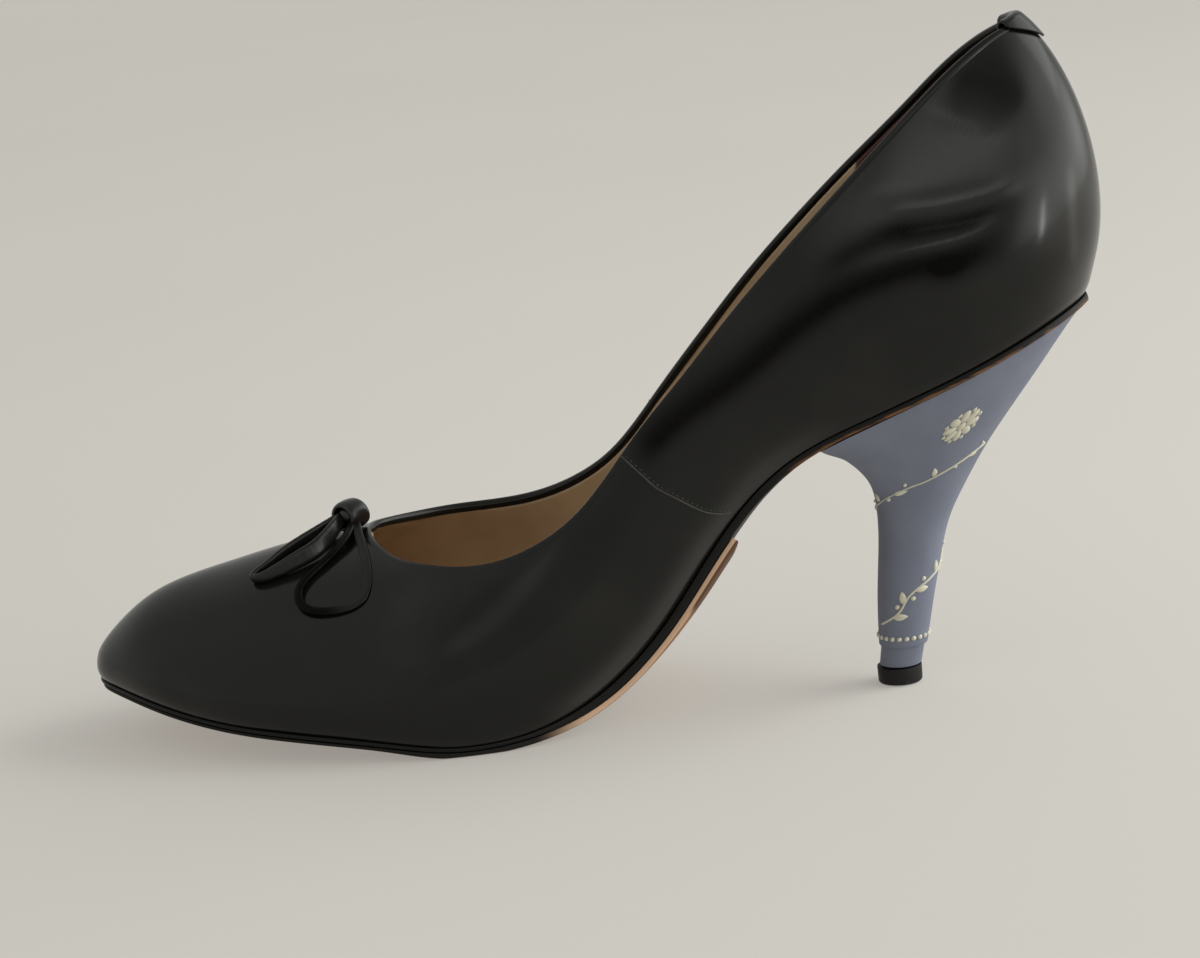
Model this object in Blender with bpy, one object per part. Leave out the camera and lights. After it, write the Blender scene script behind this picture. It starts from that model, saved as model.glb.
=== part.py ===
"""A court shoe on a slim high heel: the right shoe, toe towards -X, inner side towards -Y.

Every piece is worked out from one table of sections through the last. The tables and the
sizes are in millimetres, measured from the toe along X and from the floor along Z, and each
mesh is turned into metres when its object is made.
"""

import math
from collections import namedtuple

import bmesh
import bpy
import numpy as np
from mathutils import Matrix, Vector
from mathutils.bvhtree import BVHTree

MM = 0.001

# Driving sizes of the upper
WALL = 1.7  # calf with its lining
FLARE = 38.0  # lean of the wall out from the feather line, degrees
RISE_TOE = 0.50  # pull of the feather line on the wall, as a part of its height
RISE_HEEL = 0.30
REACH_TOE = 0.56  # pull of the top line on the wall
REACH_HEEL = 0.39
THROAT = 7  # row of the section where the vamp ends at the throat

# Driving sizes of the sole and insole
GAP = 0.3  # between two pieces that meet
SOLE_MARGIN = 1.2  # sole edge past the feather line
SOLE_TRIM = 0.65  # how much closer it is trimmed at the waist
SOLE_TRIM_START = (88.0, 112.0)
SOLE_TRIM_END = (140.0, 160.0)
SOLE_FORE = 0.9
SOLE_WAIST = 1.7
SOLE_SEAT = 1.4
SOLE_CROWN = 2.0  # belly of the sole across the waist
HALF_SOLE_FORE = 0.7  # worn thin under the toes
HALF_SOLE_WAIST = 1.2
HALF_SOLE_TIP = 1.5  # thickest at its cut end
HALF_SOLE_END = (139.5, 125.0)  # cut on a slant, on the inner and the outer side
HALF_SOLE_BALL = (64.0, 82.0)  # where it gains its thickness
HALF_SOLE_LAST = (122.0, 136.0)
HALF_SOLE_INSET = 0.4
INSOLE = 1.6
INSOLE_INSET = 1.8
WAIST_START = (92.0, 116.0)  # where the waist's thickness and belly set in
SEAT_START = (150.0, 168.0)  # where the belly flattens into the heel seat

# Driving sizes of the heel and its top piece
HEEL_STEP = 8.3  # height of the step above the neck
TOP_PIECE_HEIGHT = 3.6
TOP_PIECE_RADIUS = 4.7
TOP_PIECE_CENTRE = 171.9
TOP_PIECE_EDGE = 0.5

# Driving sizes of the folded tab at the back
TAB_ROWS = 1.2  # how far it runs along the top line to each side, in rows
TAB_DEPTH = 0.115  # part of the back height that it covers at the middle
TAB_DEPTH_END = 0.012
TAB_FOLD = 0.2  # part of its width that lies over the rim
TAB_THICKNESS = 0.7
TAB_GAP = 0.5  # room over the curve of the rim

# Driving sizes of the bow, tied from a narrow strap that stands on its edge
STRAP_HEIGHT = {"side": 1.1, "front": 2.8}
STRAP_THICKNESS = {"side": 1.9, "front": 1.4}
KNOT_CENTRE = (58.7, 0.0)
KNOT_SIZE = (6.6, 7.0, 5.6)
KNOT_SEAT = 41.4  # height of its underside
KNOT_ROUNDING = 1.6
KNOT_TILT = -8.0  # follows the slope of the vamp, degrees

# How finely each piece is cut
UPPER_CUTS_PER_ROW = 2
UPPER_CUTS_UP = 10
SOLE_CUTS_ACROSS = 6
HEEL_CUTS_AROUND = 28
HEEL_CUTS_PER_ROW = 2
STRAP_CUTS_PER_BEND = 2
TAB_CUTS_ALONG = 8
TAB_CUTS_OVER = 10

# A row for each section: the feather line at x, its inner and outer edge and its height, then
# the crest of the vamp or the top line above it, how much higher the top line is on the outer
# side, and the inward lean of the wall there
Section = namedtuple("Section", "x inner outer feather_z top_x top_half top_z top_tilt lean")
SECTIONS = (
    Section(1.6, -2.0, -2.0, 13.5, 0.6, 0.0, 17.6, 0.0, 90),
    Section(3.2, -7.6, 3.6, 13.6, 1.9, 0.0, 20.4, 0.0, 90),
    Section(8.0, -13.4, 9.2, 13.3, 5.8, 0.0, 24.4, 0.0, 90),
    Section(15.5, -20.2, 15.8, 12.3, 12.6, 0.0, 29.5, 0.0, 90),
    Section(24.0, -25.6, 21.8, 10.7, 21.5, 0.0, 33.1, 0.0, 90),
    Section(34.0, -30.0, 27.4, 9.0, 32.5, 0.0, 35.8, 0.0, 90),
    Section(46.0, -33.4, 32.0, 7.5, 46.0, 0.0, 38.8, 0.0, 90),
    Section(60.0, -35.3, 35.0, 5.8, 62.8, 0.0, 41.3, 0.0, 90),
    Section(71.0, -35.8, 36.4, 4.1, 68.2, 14.0, 39.6, 1.2, 68),
    Section(81.0, -35.2, 36.6, 2.6, 77.0, 23.4, 38.7, 1.0, 52),
    Section(91.0, -33.0, 35.6, 2.6, 87.5, 28.0, 38.5, 0.7, 40),
    Section(100.0, -29.8, 33.7, 4.0, 97.0, 29.2, 40.1, 0.4, 30),
    Section(109.0, -26.2, 31.4, 7.5, 106.0, 28.6, 44.0, 0.1, 22),
    Section(118.0, -23.2, 28.9, 13.9, 114.5, 27.4, 50.8, -0.4, 16),
    Section(127.0, -21.1, 26.6, 23.4, 124.0, 26.2, 61.9, -0.6, 11),
    Section(136.0, -19.9, 24.8, 35.4, 134.0, 25.1, 73.0, 0.3, 9),
    Section(146.0, -19.7, 23.5, 47.1, 145.0, 24.2, 85.1, 0.5, 8),
    Section(157.0, -20.7, 23.0, 55.5, 157.0, 23.5, 97.1, 0.2, 9),
    Section(169.0, -22.2, 23.2, 61.1, 169.0, 22.2, 108.3, -0.3, 11),
    Section(181.0, -23.2, 23.5, 66.0, 180.0, 20.0, 118.2, -0.8, 15),
    Section(192.0, -22.8, 22.8, 70.6, 190.0, 16.2, 127.2, -0.5, 21),
    Section(202.0, -19.4, 19.4, 75.0, 198.4, 11.0, 133.3, -0.3, 31),
    Section(210.0, -12.4, 12.4, 78.5, 204.1, 5.6, 136.0, 0.0, 42),
    Section(214.6, 0.0, 0.0, 80.2, 206.3, 0.0, 136.9, 0.0, 47),
)

# A row for each ring of the heel, its neck and then from its step up: front and back in the
# middle plane, half width, squareness of its front corners, and the hollow of its breast
HeelRing = namedtuple("HeelRing", "front_x front_z back_x back_z half square hollow")
NECK_RINGS = (
    HeelRing(167.8, TOP_PIECE_HEIGHT + GAP, 176.6, TOP_PIECE_HEIGHT + GAP, 4.3, 2.0, 0.0),
    HeelRing(168.5, HEEL_STEP, 177.6, HEEL_STEP, 4.5, 2.0, 0.0),
)
HEEL_RINGS = (
    HeelRing(168.0, HEEL_STEP, 178.2, HEEL_STEP, 5.1, 2.0, 0.0),
    HeelRing(168.4, 17.5, 180.2, 17.5, 5.9, 2.1, 0.0),
    HeelRing(169.2, 26.0, 182.5, 27.0, 7.0, 2.2, 0.0),
    HeelRing(169.6, 33.0, 184.9, 35.0, 8.4, 2.4, 0.2),
    HeelRing(169.2, 39.5, 188.9, 42.5, 10.4, 2.8, 0.6),
    HeelRing(167.8, 44.5, 193.6, 50.0, 13.0, 3.4, 1.2),
    HeelRing(165.0, 48.5, 199.7, 58.2, 16.2, 4.2, 2.0),
    HeelRing(161.6, 51.8, 207.4, 68.0, 19.8, 5.2, 3.0),
    HeelRing(158.0, 55.0, 214.8, 77.0, 23.0, 6.5, 4.0),
)
HEEL_CAP_SCALES = (0.66, 0.33)

# A row for each bend of a strap, seen from above, from the knot round and back to it
Bend = namedtuple("Bend", "x y")
LOOPS = {
    "side": (
        Bend(59.6, -5.2), Bend(58.4, -8.6), Bend(55.3, -13.4), Bend(51.4, -17.6), Bend(50.2, -21.8),
        Bend(52.6, -25.0), Bend(57.6, -26.4), Bend(63.0, -27.2), Bend(65.8, -25.4), Bend(65.2, -20.2),
        Bend(63.4, -13.2), Bend(62.2, -8.4), Bend(62.0, -5.2),
    ),
    "front": (
        Bend(56.4, -5.4), Bend(54.6, -9.0), Bend(51.4, -12.2), Bend(47.9, -13.9), Bend(44.4, -14.6),
        Bend(41.4, -14.7), Bend(39.7, -13.8), Bend(40.3, -12.6), Bend(42.8, -11.2), Bend(46.0, -8.6),
        Bend(50.5, -5.4), Bend(54.3, -2.4),
    ),
}

# Colour, roughness and metallic value of each finish
Finish = namedtuple("Finish", "colour roughness metallic")
BLACK_CALF = Finish((0.022, 0.023, 0.021, 1.0), 0.32, 0.0)
BLACK_EDGE = Finish((0.015, 0.014, 0.013, 1.0), 0.45, 0.0)
SOLE_LEATHER = Finish((0.42, 0.24, 0.13, 1.0), 0.60, 0.0)
LINING_LEATHER = Finish((0.40, 0.30, 0.19, 1.0), 0.60, 0.0)
BLUE_STONEWARE = Finish((0.17, 0.20, 0.34, 1.0), 0.65, 0.0)
BLACK_RUBBER = Finish((0.012, 0.012, 0.012, 1.0), 0.55, 0.0)


class Column:
    """A smooth curve through one column of a table, with a knot at each row."""

    def __init__(self, values, level_start, level_end):
        count = len(values)
        lines = np.zeros((count, count))
        right = np.zeros(count)
        for row in range(1, count - 1):
            lines[row, row - 1:row + 2] = (1.0, 4.0, 1.0)
            right[row] = 3.0 * (values[row + 1] - values[row - 1])
        for row, beside, level in ((0, 1, level_start), (count - 1, count - 2, level_end)):
            lines[row, row] = 1.0 if level else 2.0
            lines[row, beside] = 0.0 if level else 1.0
            right[row] = 0.0 if level else 3.0 * (values[max(row, beside)] - values[min(row, beside)])
        self.values = values
        self.slopes = np.linalg.solve(lines, right)

    def __call__(self, row):
        start = min(max(int(row), 0), len(self.values) - 2)
        f = row - start
        low, high = self.values[start], self.values[start + 1]
        slope_low, slope_high = self.slopes[start], self.slopes[start + 1]
        rest = 1.0 - f
        return (low * (1.0 + 2.0 * f) * rest * rest + high * (3.0 - 2.0 * f) * f * f
                + slope_low * f * rest * rest - slope_high * rest * f * f)

    def slope(self, row):
        """The change of the column for each row."""
        start = min(max(int(row), 0), len(self.values) - 2)
        f = row - start
        step = self.values[start + 1] - self.values[start]
        slope_low, slope_high = self.slopes[start], self.slopes[start + 1]
        return (step * 6.0 * f * (1.0 - f) + slope_low * (1.0 - f) * (1.0 - 3.0 * f)
                + slope_high * f * (3.0 * f - 2.0))


def column(rows, name, level_start=True, level_end=True):
    """The curve through one named column of a table."""
    return Column([float(getattr(row, name)) for row in rows], level_start, level_end)


def ease(value, start, end):
    """Rise smoothly from 0 at start to 1 at end."""
    f = min(max((value - start) / (end - start), 0.0), 1.0)
    return f * f * (3.0 - 2.0 * f)


class Last:
    """The form that the shoe is made on, as functions of a section's row and a side.

    The side is -1 for the inner half of the shoe and 1 for the outer half.
    """

    HEEL = len(SECTIONS) - 1

    def __init__(self):
        vamp = SECTIONS[:THROAT + 1]
        quarter = SECTIONS[THROAT:]
        self.x = column(SECTIONS, "x")
        self.edge = {-1: column(SECTIONS, "inner", False, False),
                     1: column(SECTIONS, "outer", False, False)}
        self.feather_z = column(SECTIONS, "feather_z")
        self.crest_x = column(vamp, "top_x", True, False)
        self.crest_z = column(vamp, "top_z", False, False)
        self.top_x = column(quarter, "top_x")
        self.top_half = column(quarter, "top_half", False, False)
        self.top_z = column(quarter, "top_z")
        self.top_tilt = column(quarter, "top_tilt")
        self.lean = column(quarter, "lean")

    def feather(self, row, side):
        """The point where the upper meets the sole."""
        return Vector((self.x(row), self.edge[side](row), self.feather_z(row)))

    def outward(self, row, side):
        """The level direction out of the shoe, square to the feather line."""
        return Vector((-side * self.edge[side].slope(row), side * self.x.slope(row), 0.0)).normalized()

    def top(self, row, side):
        """The point on the crest of the vamp or on the top line, with the wall's lean there."""
        if row <= THROAT:
            middle = 0.5 * (self.edge[-1](row) + self.edge[1](row)) * (1.0 - (row / THROAT) ** 2)
            return Vector((self.crest_x(row), middle, self.crest_z(row))), math.radians(90.0)
        past = row - THROAT
        height = self.top_z(past) + 0.5 * side * self.top_tilt(past)
        return (Vector((self.top_x(past), side * self.top_half(past), height)),
                math.radians(self.lean(past)))

    def wall(self, row, side, up):
        """A point on the outside of the upper, from the feather line at 0 to the top at 1."""
        foot = self.feather(row, side)
        head, lean = self.top(row, side)
        turn = ease(row, THROAT, self.HEEL)
        out = self.outward(row, side)
        head_out = (out * turn + Vector((0.0, side, 0.0)) * (1.0 - turn)).normalized()
        height = head.z - foot.z
        breadth = abs((head - foot).dot(head_out))
        along = row / self.HEEL
        rise = height * (RISE_TOE + (RISE_HEEL - RISE_TOE) * along)
        reach = (REACH_TOE + (REACH_HEEL - REACH_TOE) * along)
        reach *= height * math.cos(lean) + breadth * math.sin(lean)
        flare = math.radians(FLARE)
        vertical = Vector((0.0, 0.0, 1.0))
        low = foot + rise * (vertical * math.cos(flare) + out * math.sin(flare))
        high = head - reach * (vertical * math.cos(lean) - head_out * math.sin(lean))
        rest = 1.0 - up
        return (foot * rest ** 3 + low * 3.0 * rest * rest * up
                + high * 3.0 * rest * up * up + head * up ** 3)

    def wall_normal(self, row, side, up):
        """The direction square to the upper, pointing out of the shoe."""
        step = 0.01
        row_low, row_high = max(row - step, 0.0), min(row + step, self.HEEL)
        up_low, up_high = max(up - step, 0.0), min(up + step, 1.0)
        along = self.wall(row_high, side, up) - self.wall(row_low, side, up)
        rising = self.wall(row, side, up_high) - self.wall(row, side, up_low)
        return (along.cross(rising) * -side).normalized()

    def row_at(self, x):
        """The row of the section whose feather line is at x."""
        low, high = 0.0, float(self.HEEL)
        for _ in range(40):
            middle = 0.5 * (low + high)
            low, high = (middle, high) if self.x(middle) < x else (low, middle)
        return low

    def bottom(self, row, across, margin, depth):
        """A point under the foot: across runs from the inner edge at 0 to the outer edge at 1."""
        inner = self.feather(row, -1) + self.outward(row, -1) * margin
        outer = self.feather(row, 1) + self.outward(row, 1) * margin
        end = 0.2
        near = min(max(row, end), self.HEEL - end)
        down = Vector((self.feather_z.slope(near), 0.0, -self.x.slope(near))).normalized()
        x = self.x(row)
        belly = SOLE_CROWN * ease(x, *WAIST_START) * (1.0 - ease(x, *SEAT_START))
        return inner.lerp(outer, across) + down * (depth + belly * 4.0 * across * (1.0 - across))


def mapped_grid(mesh, along, across, place):
    """Add a grid of faces whose points, each from 0 to 1 both ways, are set by a function."""
    made = bmesh.ops.create_grid(mesh, x_segments=along, y_segments=across, size=0.5)
    for vert in made["verts"]:
        vert.co = place(vert.co.x + 0.5, vert.co.y + 0.5)
    return made["verts"]


def weld(mesh):
    """Merge the points that meet."""
    bmesh.ops.remove_doubles(mesh, verts=mesh.verts, dist=0.001)


def face_outwards(mesh):
    """Turn the faces of a closed piece so that all of them point out."""
    bmesh.ops.recalc_face_normals(mesh, faces=mesh.faces)
    if mesh.calc_volume(signed=True) < 0.0:
        bmesh.ops.reverse_faces(mesh, faces=mesh.faces)


def slab(along, across, upper_face, lower_face):
    """A closed sheet between two mapped faces, bridged round its edge."""
    mesh = bmesh.new()
    for face in (upper_face, lower_face):
        mapped_grid(mesh, along, across, face)
    weld(mesh)
    rim = [edge for edge in mesh.edges if edge.is_boundary]
    bmesh.ops.bridge_loops(mesh, edges=rim)
    face_outwards(mesh)
    return mesh


def tube(around, along, place):
    """A closed tube: place takes the turn from 0 to 1 and the ring from 0 to 1."""
    mesh = bmesh.new()
    mapped_grid(mesh, around, along, lambda turn, ring: place(turn % 1.0, ring))
    weld(mesh)
    rim = [edge for edge in mesh.edges if edge.is_boundary]
    bmesh.ops.holes_fill(mesh, edges=rim, sides=0)
    face_outwards(mesh)
    return mesh


def finish_material(name, finish):
    """A material of its own for one piece."""
    material = bpy.data.materials.new(name)
    material.use_nodes = True
    shader = material.node_tree.nodes["Principled BSDF"]
    shader.inputs["Base Color"].default_value = finish.colour
    shader.inputs["Roughness"].default_value = finish.roughness
    shader.inputs["Metallic"].default_value = finish.metallic
    return material


def make_object(name, mesh, finish, parent, sharp=40.0):
    """Turn a bmesh in millimetres into a named object in metres."""
    mesh.transform(Matrix.Scale(MM, 4))
    data = bpy.data.meshes.new(name)
    mesh.to_mesh(data)
    mesh.free()
    data.shade_smooth()
    data.set_sharp_from_angle(angle=math.radians(sharp))
    data.materials.append(finish_material(name, finish))
    piece = bpy.data.objects.new(name, data)
    bpy.context.collection.objects.link(piece)
    piece.parent = parent
    return piece


def surface_of(mesh):
    """A copy of a piece's faces that rays can be dropped on."""
    return BVHTree.FromBMesh(mesh)


def make_upper(last, parent):
    """The hollow upper: one wall from the toe round to the back, open at the top line and below."""
    mesh = bmesh.new()
    rows = UPPER_CUTS_PER_ROW * last.HEEL
    for side in (-1, 1):
        mapped_grid(mesh, rows, UPPER_CUTS_UP,
                    lambda along, up, side=side: last.wall(along * last.HEEL, side, up))
    weld(mesh)
    bmesh.ops.recalc_face_normals(mesh, faces=mesh.faces)
    outside = surface_of(mesh)
    piece = make_object("upper", mesh, BLACK_CALF, parent)
    wall = piece.modifiers.new("wall", "SOLIDIFY")
    wall.thickness = WALL * MM
    wall.offset = -1.0
    wall.use_even_offset = True
    return outside


def sole_thickness(x):
    """The full sole is thickest through the waist."""
    return (SOLE_FORE + (SOLE_WAIST - SOLE_FORE) * ease(x, *WAIST_START)
            - (SOLE_WAIST - SOLE_SEAT) * ease(x, *SEAT_START))


def sole_margin(x):
    """How far the sole stands out past the feather line."""
    return SOLE_MARGIN - SOLE_TRIM * ease(x, *SOLE_TRIM_START) * (1.0 - ease(x, *SOLE_TRIM_END))


def make_sole(last, parent):
    """The full-length sole, from the toe to the heel seat."""
    def face(depth_at):
        def place(along, across):
            row = along * last.HEEL
            x = last.x(row)
            return last.bottom(row, across, sole_margin(x), depth_at(x))
        return place

    mesh = slab(UPPER_CUTS_PER_ROW * last.HEEL, SOLE_CUTS_ACROSS,
                face(lambda x: GAP), face(lambda x: GAP + sole_thickness(x)))
    underside = surface_of(mesh)
    make_object("sole", mesh, BLACK_EDGE, parent)
    return underside


def make_half_sole(last, parent):
    """The tread leather under the forepart and waist, worn to a flat spot under the ball."""
    inner_end, outer_end = (last.row_at(x) for x in HALF_SOLE_END)

    def thickness(x):
        return (HALF_SOLE_FORE + (HALF_SOLE_WAIST - HALF_SOLE_FORE) * ease(x, *HALF_SOLE_BALL)
                + (HALF_SOLE_TIP - HALF_SOLE_WAIST) * ease(x, *HALF_SOLE_LAST))

    def face(extra):
        def place(along, across):
            row = along * (inner_end + (outer_end - inner_end) * across)
            x = last.x(row)
            point = last.bottom(row, across, sole_margin(x) - HALF_SOLE_INSET,
                                2.0 * GAP + sole_thickness(x) + extra(x))
            point.z = max(point.z, 0.0)
            return point
        return place

    mesh = slab(UPPER_CUTS_PER_ROW * THROAT * 2, SOLE_CUTS_ACROSS, face(lambda x: 0.0), face(thickness))
    make_object("half_sole", mesh, SOLE_LEATHER, parent)


def make_insole(last, parent):
    """The insole that lines the sole inside the upper."""
    def face(depth):
        return lambda along, across: last.bottom(along * last.HEEL, across, -INSOLE_INSET, depth)

    mesh = slab(UPPER_CUTS_PER_ROW * last.HEEL, SOLE_CUTS_ACROSS, face(-INSOLE), face(0.0))
    make_object("insole", mesh, LINING_LEATHER, parent)


def heel_ring_point(ring, turn, scale=1.0):
    """A point on one ring of the heel, with the turn counted from the back."""
    angle = 2.0 * math.pi * turn
    c, s = math.cos(angle), math.sin(angle)
    power = 2.0 / ring.square if c < 0.0 else 1.0
    middle = 0.5 * (ring.front_x + ring.back_x)
    length = ring.back_x - ring.front_x
    x = 0.5 * length * math.copysign(abs(c) ** power, c)
    side = math.copysign(abs(s) ** power, s)
    if c < 0.0:
        x += ring.hollow * (1.0 - side * side) * abs(c)
    x, y = middle + x * scale, ring.half * side * scale
    z = ring.front_z + (ring.back_z - ring.front_z) * (x - ring.front_x) / length
    return Vector((x, y, z))


def make_heel(underside, parent):
    """The heel: a neck, a step, and a loft that flares up to the sole's seat."""
    curves = {name: column(HEEL_RINGS, name, False, False) for name in HeelRing._fields}
    steps = HEEL_CUTS_PER_ROW * (len(HEEL_RINGS) - 1)
    loft = [HeelRing(**{name: curve(step / HEEL_CUTS_PER_ROW) for name, curve in curves.items()})
            for step in range(steps + 1)]
    rings = [(ring, 1.0) for ring in (*NECK_RINGS, *loft)]
    seat = len(rings) - 1
    rings += [(loft[-1], scale) for scale in HEEL_CAP_SCALES]

    def place(turn, along):
        number = round(along * (len(rings) - 1))
        ring, scale = rings[number]
        point = heel_ring_point(ring, turn, scale)
        if number >= seat:
            hit, normal, _, _ = underside.ray_cast(Vector((point.x, point.y, 0.0)), Vector((0, 0, 1)))
            point.z = hit.z - GAP / abs(normal.z)
        return point

    mesh = tube(HEEL_CUTS_AROUND, len(rings) - 1, place)
    make_object("heel", mesh, BLUE_STONEWARE, parent)


def make_top_piece(parent):
    """The round wearing piece under the heel."""
    mesh = bmesh.new()
    bmesh.ops.create_cone(
        mesh, cap_ends=True, segments=HEEL_CUTS_AROUND, radius1=TOP_PIECE_RADIUS,
        radius2=TOP_PIECE_RADIUS, depth=TOP_PIECE_HEIGHT,
        matrix=Matrix.Translation((TOP_PIECE_CENTRE, 0.0, 0.5 * TOP_PIECE_HEIGHT)))
    foot = [edge for edge in mesh.edges if all(vert.co.z < 0.01 for vert in edge.verts)]
    bmesh.ops.bevel(mesh, geom=foot, offset=TOP_PIECE_EDGE, segments=2, profile=0.5,
                    affect="EDGES", material=-1)
    make_object("top_piece", mesh, BLACK_RUBBER, parent)


def make_back_tab(last, parent):
    """The small tab folded over the top line at the back."""
    below_rim = 0.98

    def sheet(lift):
        reach = TAB_GAP + lift

        def place(along, across):
            from_middle = abs(2.0 * along - 1.0)
            side = -1 if along < 0.5 else 1
            row = last.HEEL - from_middle * TAB_ROWS
            depth = TAB_DEPTH + (TAB_DEPTH_END - TAB_DEPTH) * from_middle
            over = 2.0 * across - 1.0
            down = max(abs(over) - TAB_FOLD, 0.0) / (1.0 - TAB_FOLD)
            up = 1.0 - depth * down
            point = last.wall(row, side, up)
            out = last.wall_normal(row, side, up)
            if down == 0.0:
                point += (point - last.wall(row, side, below_rim)).normalized() * reach
            return point + out * (reach if over < 0.0 else -WALL - reach)
        return place

    mesh = slab(TAB_CUTS_ALONG, TAB_CUTS_OVER, sheet(TAB_THICKNESS), sheet(0.0))
    make_object("back_tab", mesh, BLACK_CALF, parent)


def make_knot(parent):
    """The knot of the bow: a rounded block that the straps come out of."""
    mesh = bmesh.new()
    bmesh.ops.create_cube(mesh, size=1.0, matrix=Matrix.Diagonal((*KNOT_SIZE, 1.0)))
    bmesh.ops.bevel(mesh, geom=mesh.edges[:], offset=KNOT_ROUNDING, segments=3, profile=0.5,
                    affect="EDGES", material=-1)
    seat = Matrix.Translation((*KNOT_CENTRE, KNOT_SEAT + 0.5 * KNOT_SIZE[2]))
    mesh.transform(seat @ Matrix.Rotation(math.radians(KNOT_TILT), 4, "Y"))
    make_object("bow_knot", mesh, BLACK_CALF, parent)


def strap_mesh(bends, height, thickness, outside):
    """A strap along a route of bends, dropped on to the outside of the upper."""
    route = {name: column(bends, name, False, False) for name in Bend._fields}
    length = len(bends) - 1
    above = 100.0

    def place(turn, along):
        row = along * length
        x, y = route["x"](row), route["y"](row)
        ahead = Vector((route["x"].slope(row), route["y"].slope(row), 0.0)).normalized()
        hit, normal, _, _ = outside.ray_cast(Vector((x, y, above)), Vector((0.0, 0.0, -1.0)))
        across = normal.cross(ahead).normalized()
        left, high = ((-0.5, 0.0), (0.5, 0.0), (0.5, 1.0), (-0.5, 1.0))[round(turn * 4.0) % 4]
        lift = 2.0 * GAP + high * height
        return hit + normal * lift + across * (left * thickness)

    return tube(4, STRAP_CUTS_PER_BEND * length, place)


def make_bow(outside, parent):
    """The bow on the throat: its knot, a loop down the inner side and a narrow one towards the toe."""
    make_knot(parent)
    for name, bends in LOOPS.items():
        mesh = strap_mesh(bends, STRAP_HEIGHT[name], STRAP_THICKNESS[name], outside)
        make_object(f"bow_loop_{name}", mesh, BLACK_CALF, parent)


def centre_on_floor(parent):
    """Move the whole shoe so that its box stands centred over the origin."""
    bpy.context.view_layer.update()
    corners = [piece.matrix_world @ Vector(corner) for piece in parent.children for corner in piece.bound_box]
    low = [min(corner[axis] for corner in corners) for axis in range(2)]
    high = [max(corner[axis] for corner in corners) for axis in range(2)]
    parent.location = [-0.5 * (low[axis] + high[axis]) for axis in range(2)] + [0.0]


def main():
    """Build the shoe."""
    for old in list(bpy.data.objects):
        bpy.data.objects.remove(old, do_unlink=True)
    shoe = bpy.data.objects.new("court_shoe", None)
    bpy.context.collection.objects.link(shoe)
    last = Last()
    outside = make_upper(last, shoe)
    underside = make_sole(last, shoe)
    make_half_sole(last, shoe)
    make_insole(last, shoe)
    make_heel(underside, shoe)
    make_top_piece(shoe)
    make_back_tab(last, shoe)
    make_bow(outside, shoe)
    centre_on_floor(shoe)


main()
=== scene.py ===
"""Looks of a black court shoe on a slim stoneware heel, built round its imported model.

Lengths are in millimetres from the toe along X and from the floor along Z, as in the part's own
tables. Workshop.piece turns a finished mesh into metres in the row's frame.
"""

import logging
import math
from dataclasses import dataclass, field
from enum import Enum, IntEnum
from typing import Any, Callable, Iterable, NamedTuple, Sequence

import bmesh
import bpy
import numpy as np
from mathutils import Matrix, Vector
from mathutils.bvhtree import BVHTree


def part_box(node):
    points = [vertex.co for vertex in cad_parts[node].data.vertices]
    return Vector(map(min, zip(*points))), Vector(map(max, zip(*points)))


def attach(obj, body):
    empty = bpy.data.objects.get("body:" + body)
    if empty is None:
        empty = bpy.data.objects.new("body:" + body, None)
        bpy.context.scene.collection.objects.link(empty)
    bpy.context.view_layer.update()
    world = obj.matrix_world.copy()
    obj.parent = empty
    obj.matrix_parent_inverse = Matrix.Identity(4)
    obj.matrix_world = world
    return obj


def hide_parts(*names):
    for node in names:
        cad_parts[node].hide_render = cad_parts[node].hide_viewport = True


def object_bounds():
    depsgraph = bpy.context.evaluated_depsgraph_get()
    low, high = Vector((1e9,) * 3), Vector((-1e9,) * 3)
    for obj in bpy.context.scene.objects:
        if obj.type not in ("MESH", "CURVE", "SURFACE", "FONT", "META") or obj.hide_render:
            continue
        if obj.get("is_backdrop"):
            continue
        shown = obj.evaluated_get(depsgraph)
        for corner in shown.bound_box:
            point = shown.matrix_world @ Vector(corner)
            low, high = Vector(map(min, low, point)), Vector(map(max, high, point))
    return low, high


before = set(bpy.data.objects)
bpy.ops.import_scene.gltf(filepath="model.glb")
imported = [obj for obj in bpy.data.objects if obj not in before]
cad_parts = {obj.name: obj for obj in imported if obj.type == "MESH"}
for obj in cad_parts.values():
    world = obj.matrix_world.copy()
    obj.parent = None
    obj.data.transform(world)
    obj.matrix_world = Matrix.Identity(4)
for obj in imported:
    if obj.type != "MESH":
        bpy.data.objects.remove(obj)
CAD_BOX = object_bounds()

LOG = logging.getLogger("court_shoe")
MM = 0.001
BODY = "root"
WELD_REACH = 0.001
SHARP_ANGLE = 50.0
CREASE_CUTS = 8
Colour = tuple[float, float, float, float]
Place = Callable[[float, float], Vector]
Profile = Callable[[float], float]
Route = tuple[tuple[float, float], ...]


class Side(IntEnum):
    """The two halves of the shoe."""

    INNER = -1
    OUTER = 1


class Slot(Enum):
    """Material slots of the record."""

    CALF = "black_calf"
    EDGE = "black_edge"
    SOLE = "sole_leather"
    LINING = "lining_leather"
    STONEWARE = "blue_stoneware"
    RELIEF = "white_stoneware"
    RUBBER = "black_rubber"


class Section(NamedTuple):
    """One section of the last: the feather line, then the crest of the vamp or the top line."""

    x: float
    inner: float
    outer: float
    feather_z: float
    top_x: float
    top_half: float
    top_z: float
    top_tilt: float
    lean: float


class HeelRing(NamedTuple):
    """One ring of the heel: front and back in the middle plane, half width, corners and hollow."""

    front_x: float
    front_z: float
    back_x: float
    back_z: float
    half: float
    square: float
    hollow: float


class Bend(NamedTuple):
    """One bend of a strap seen from above, its lift off the upper, its lean and its height there."""

    x: float
    y: float
    lift: float
    lean: float
    height: float


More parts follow.
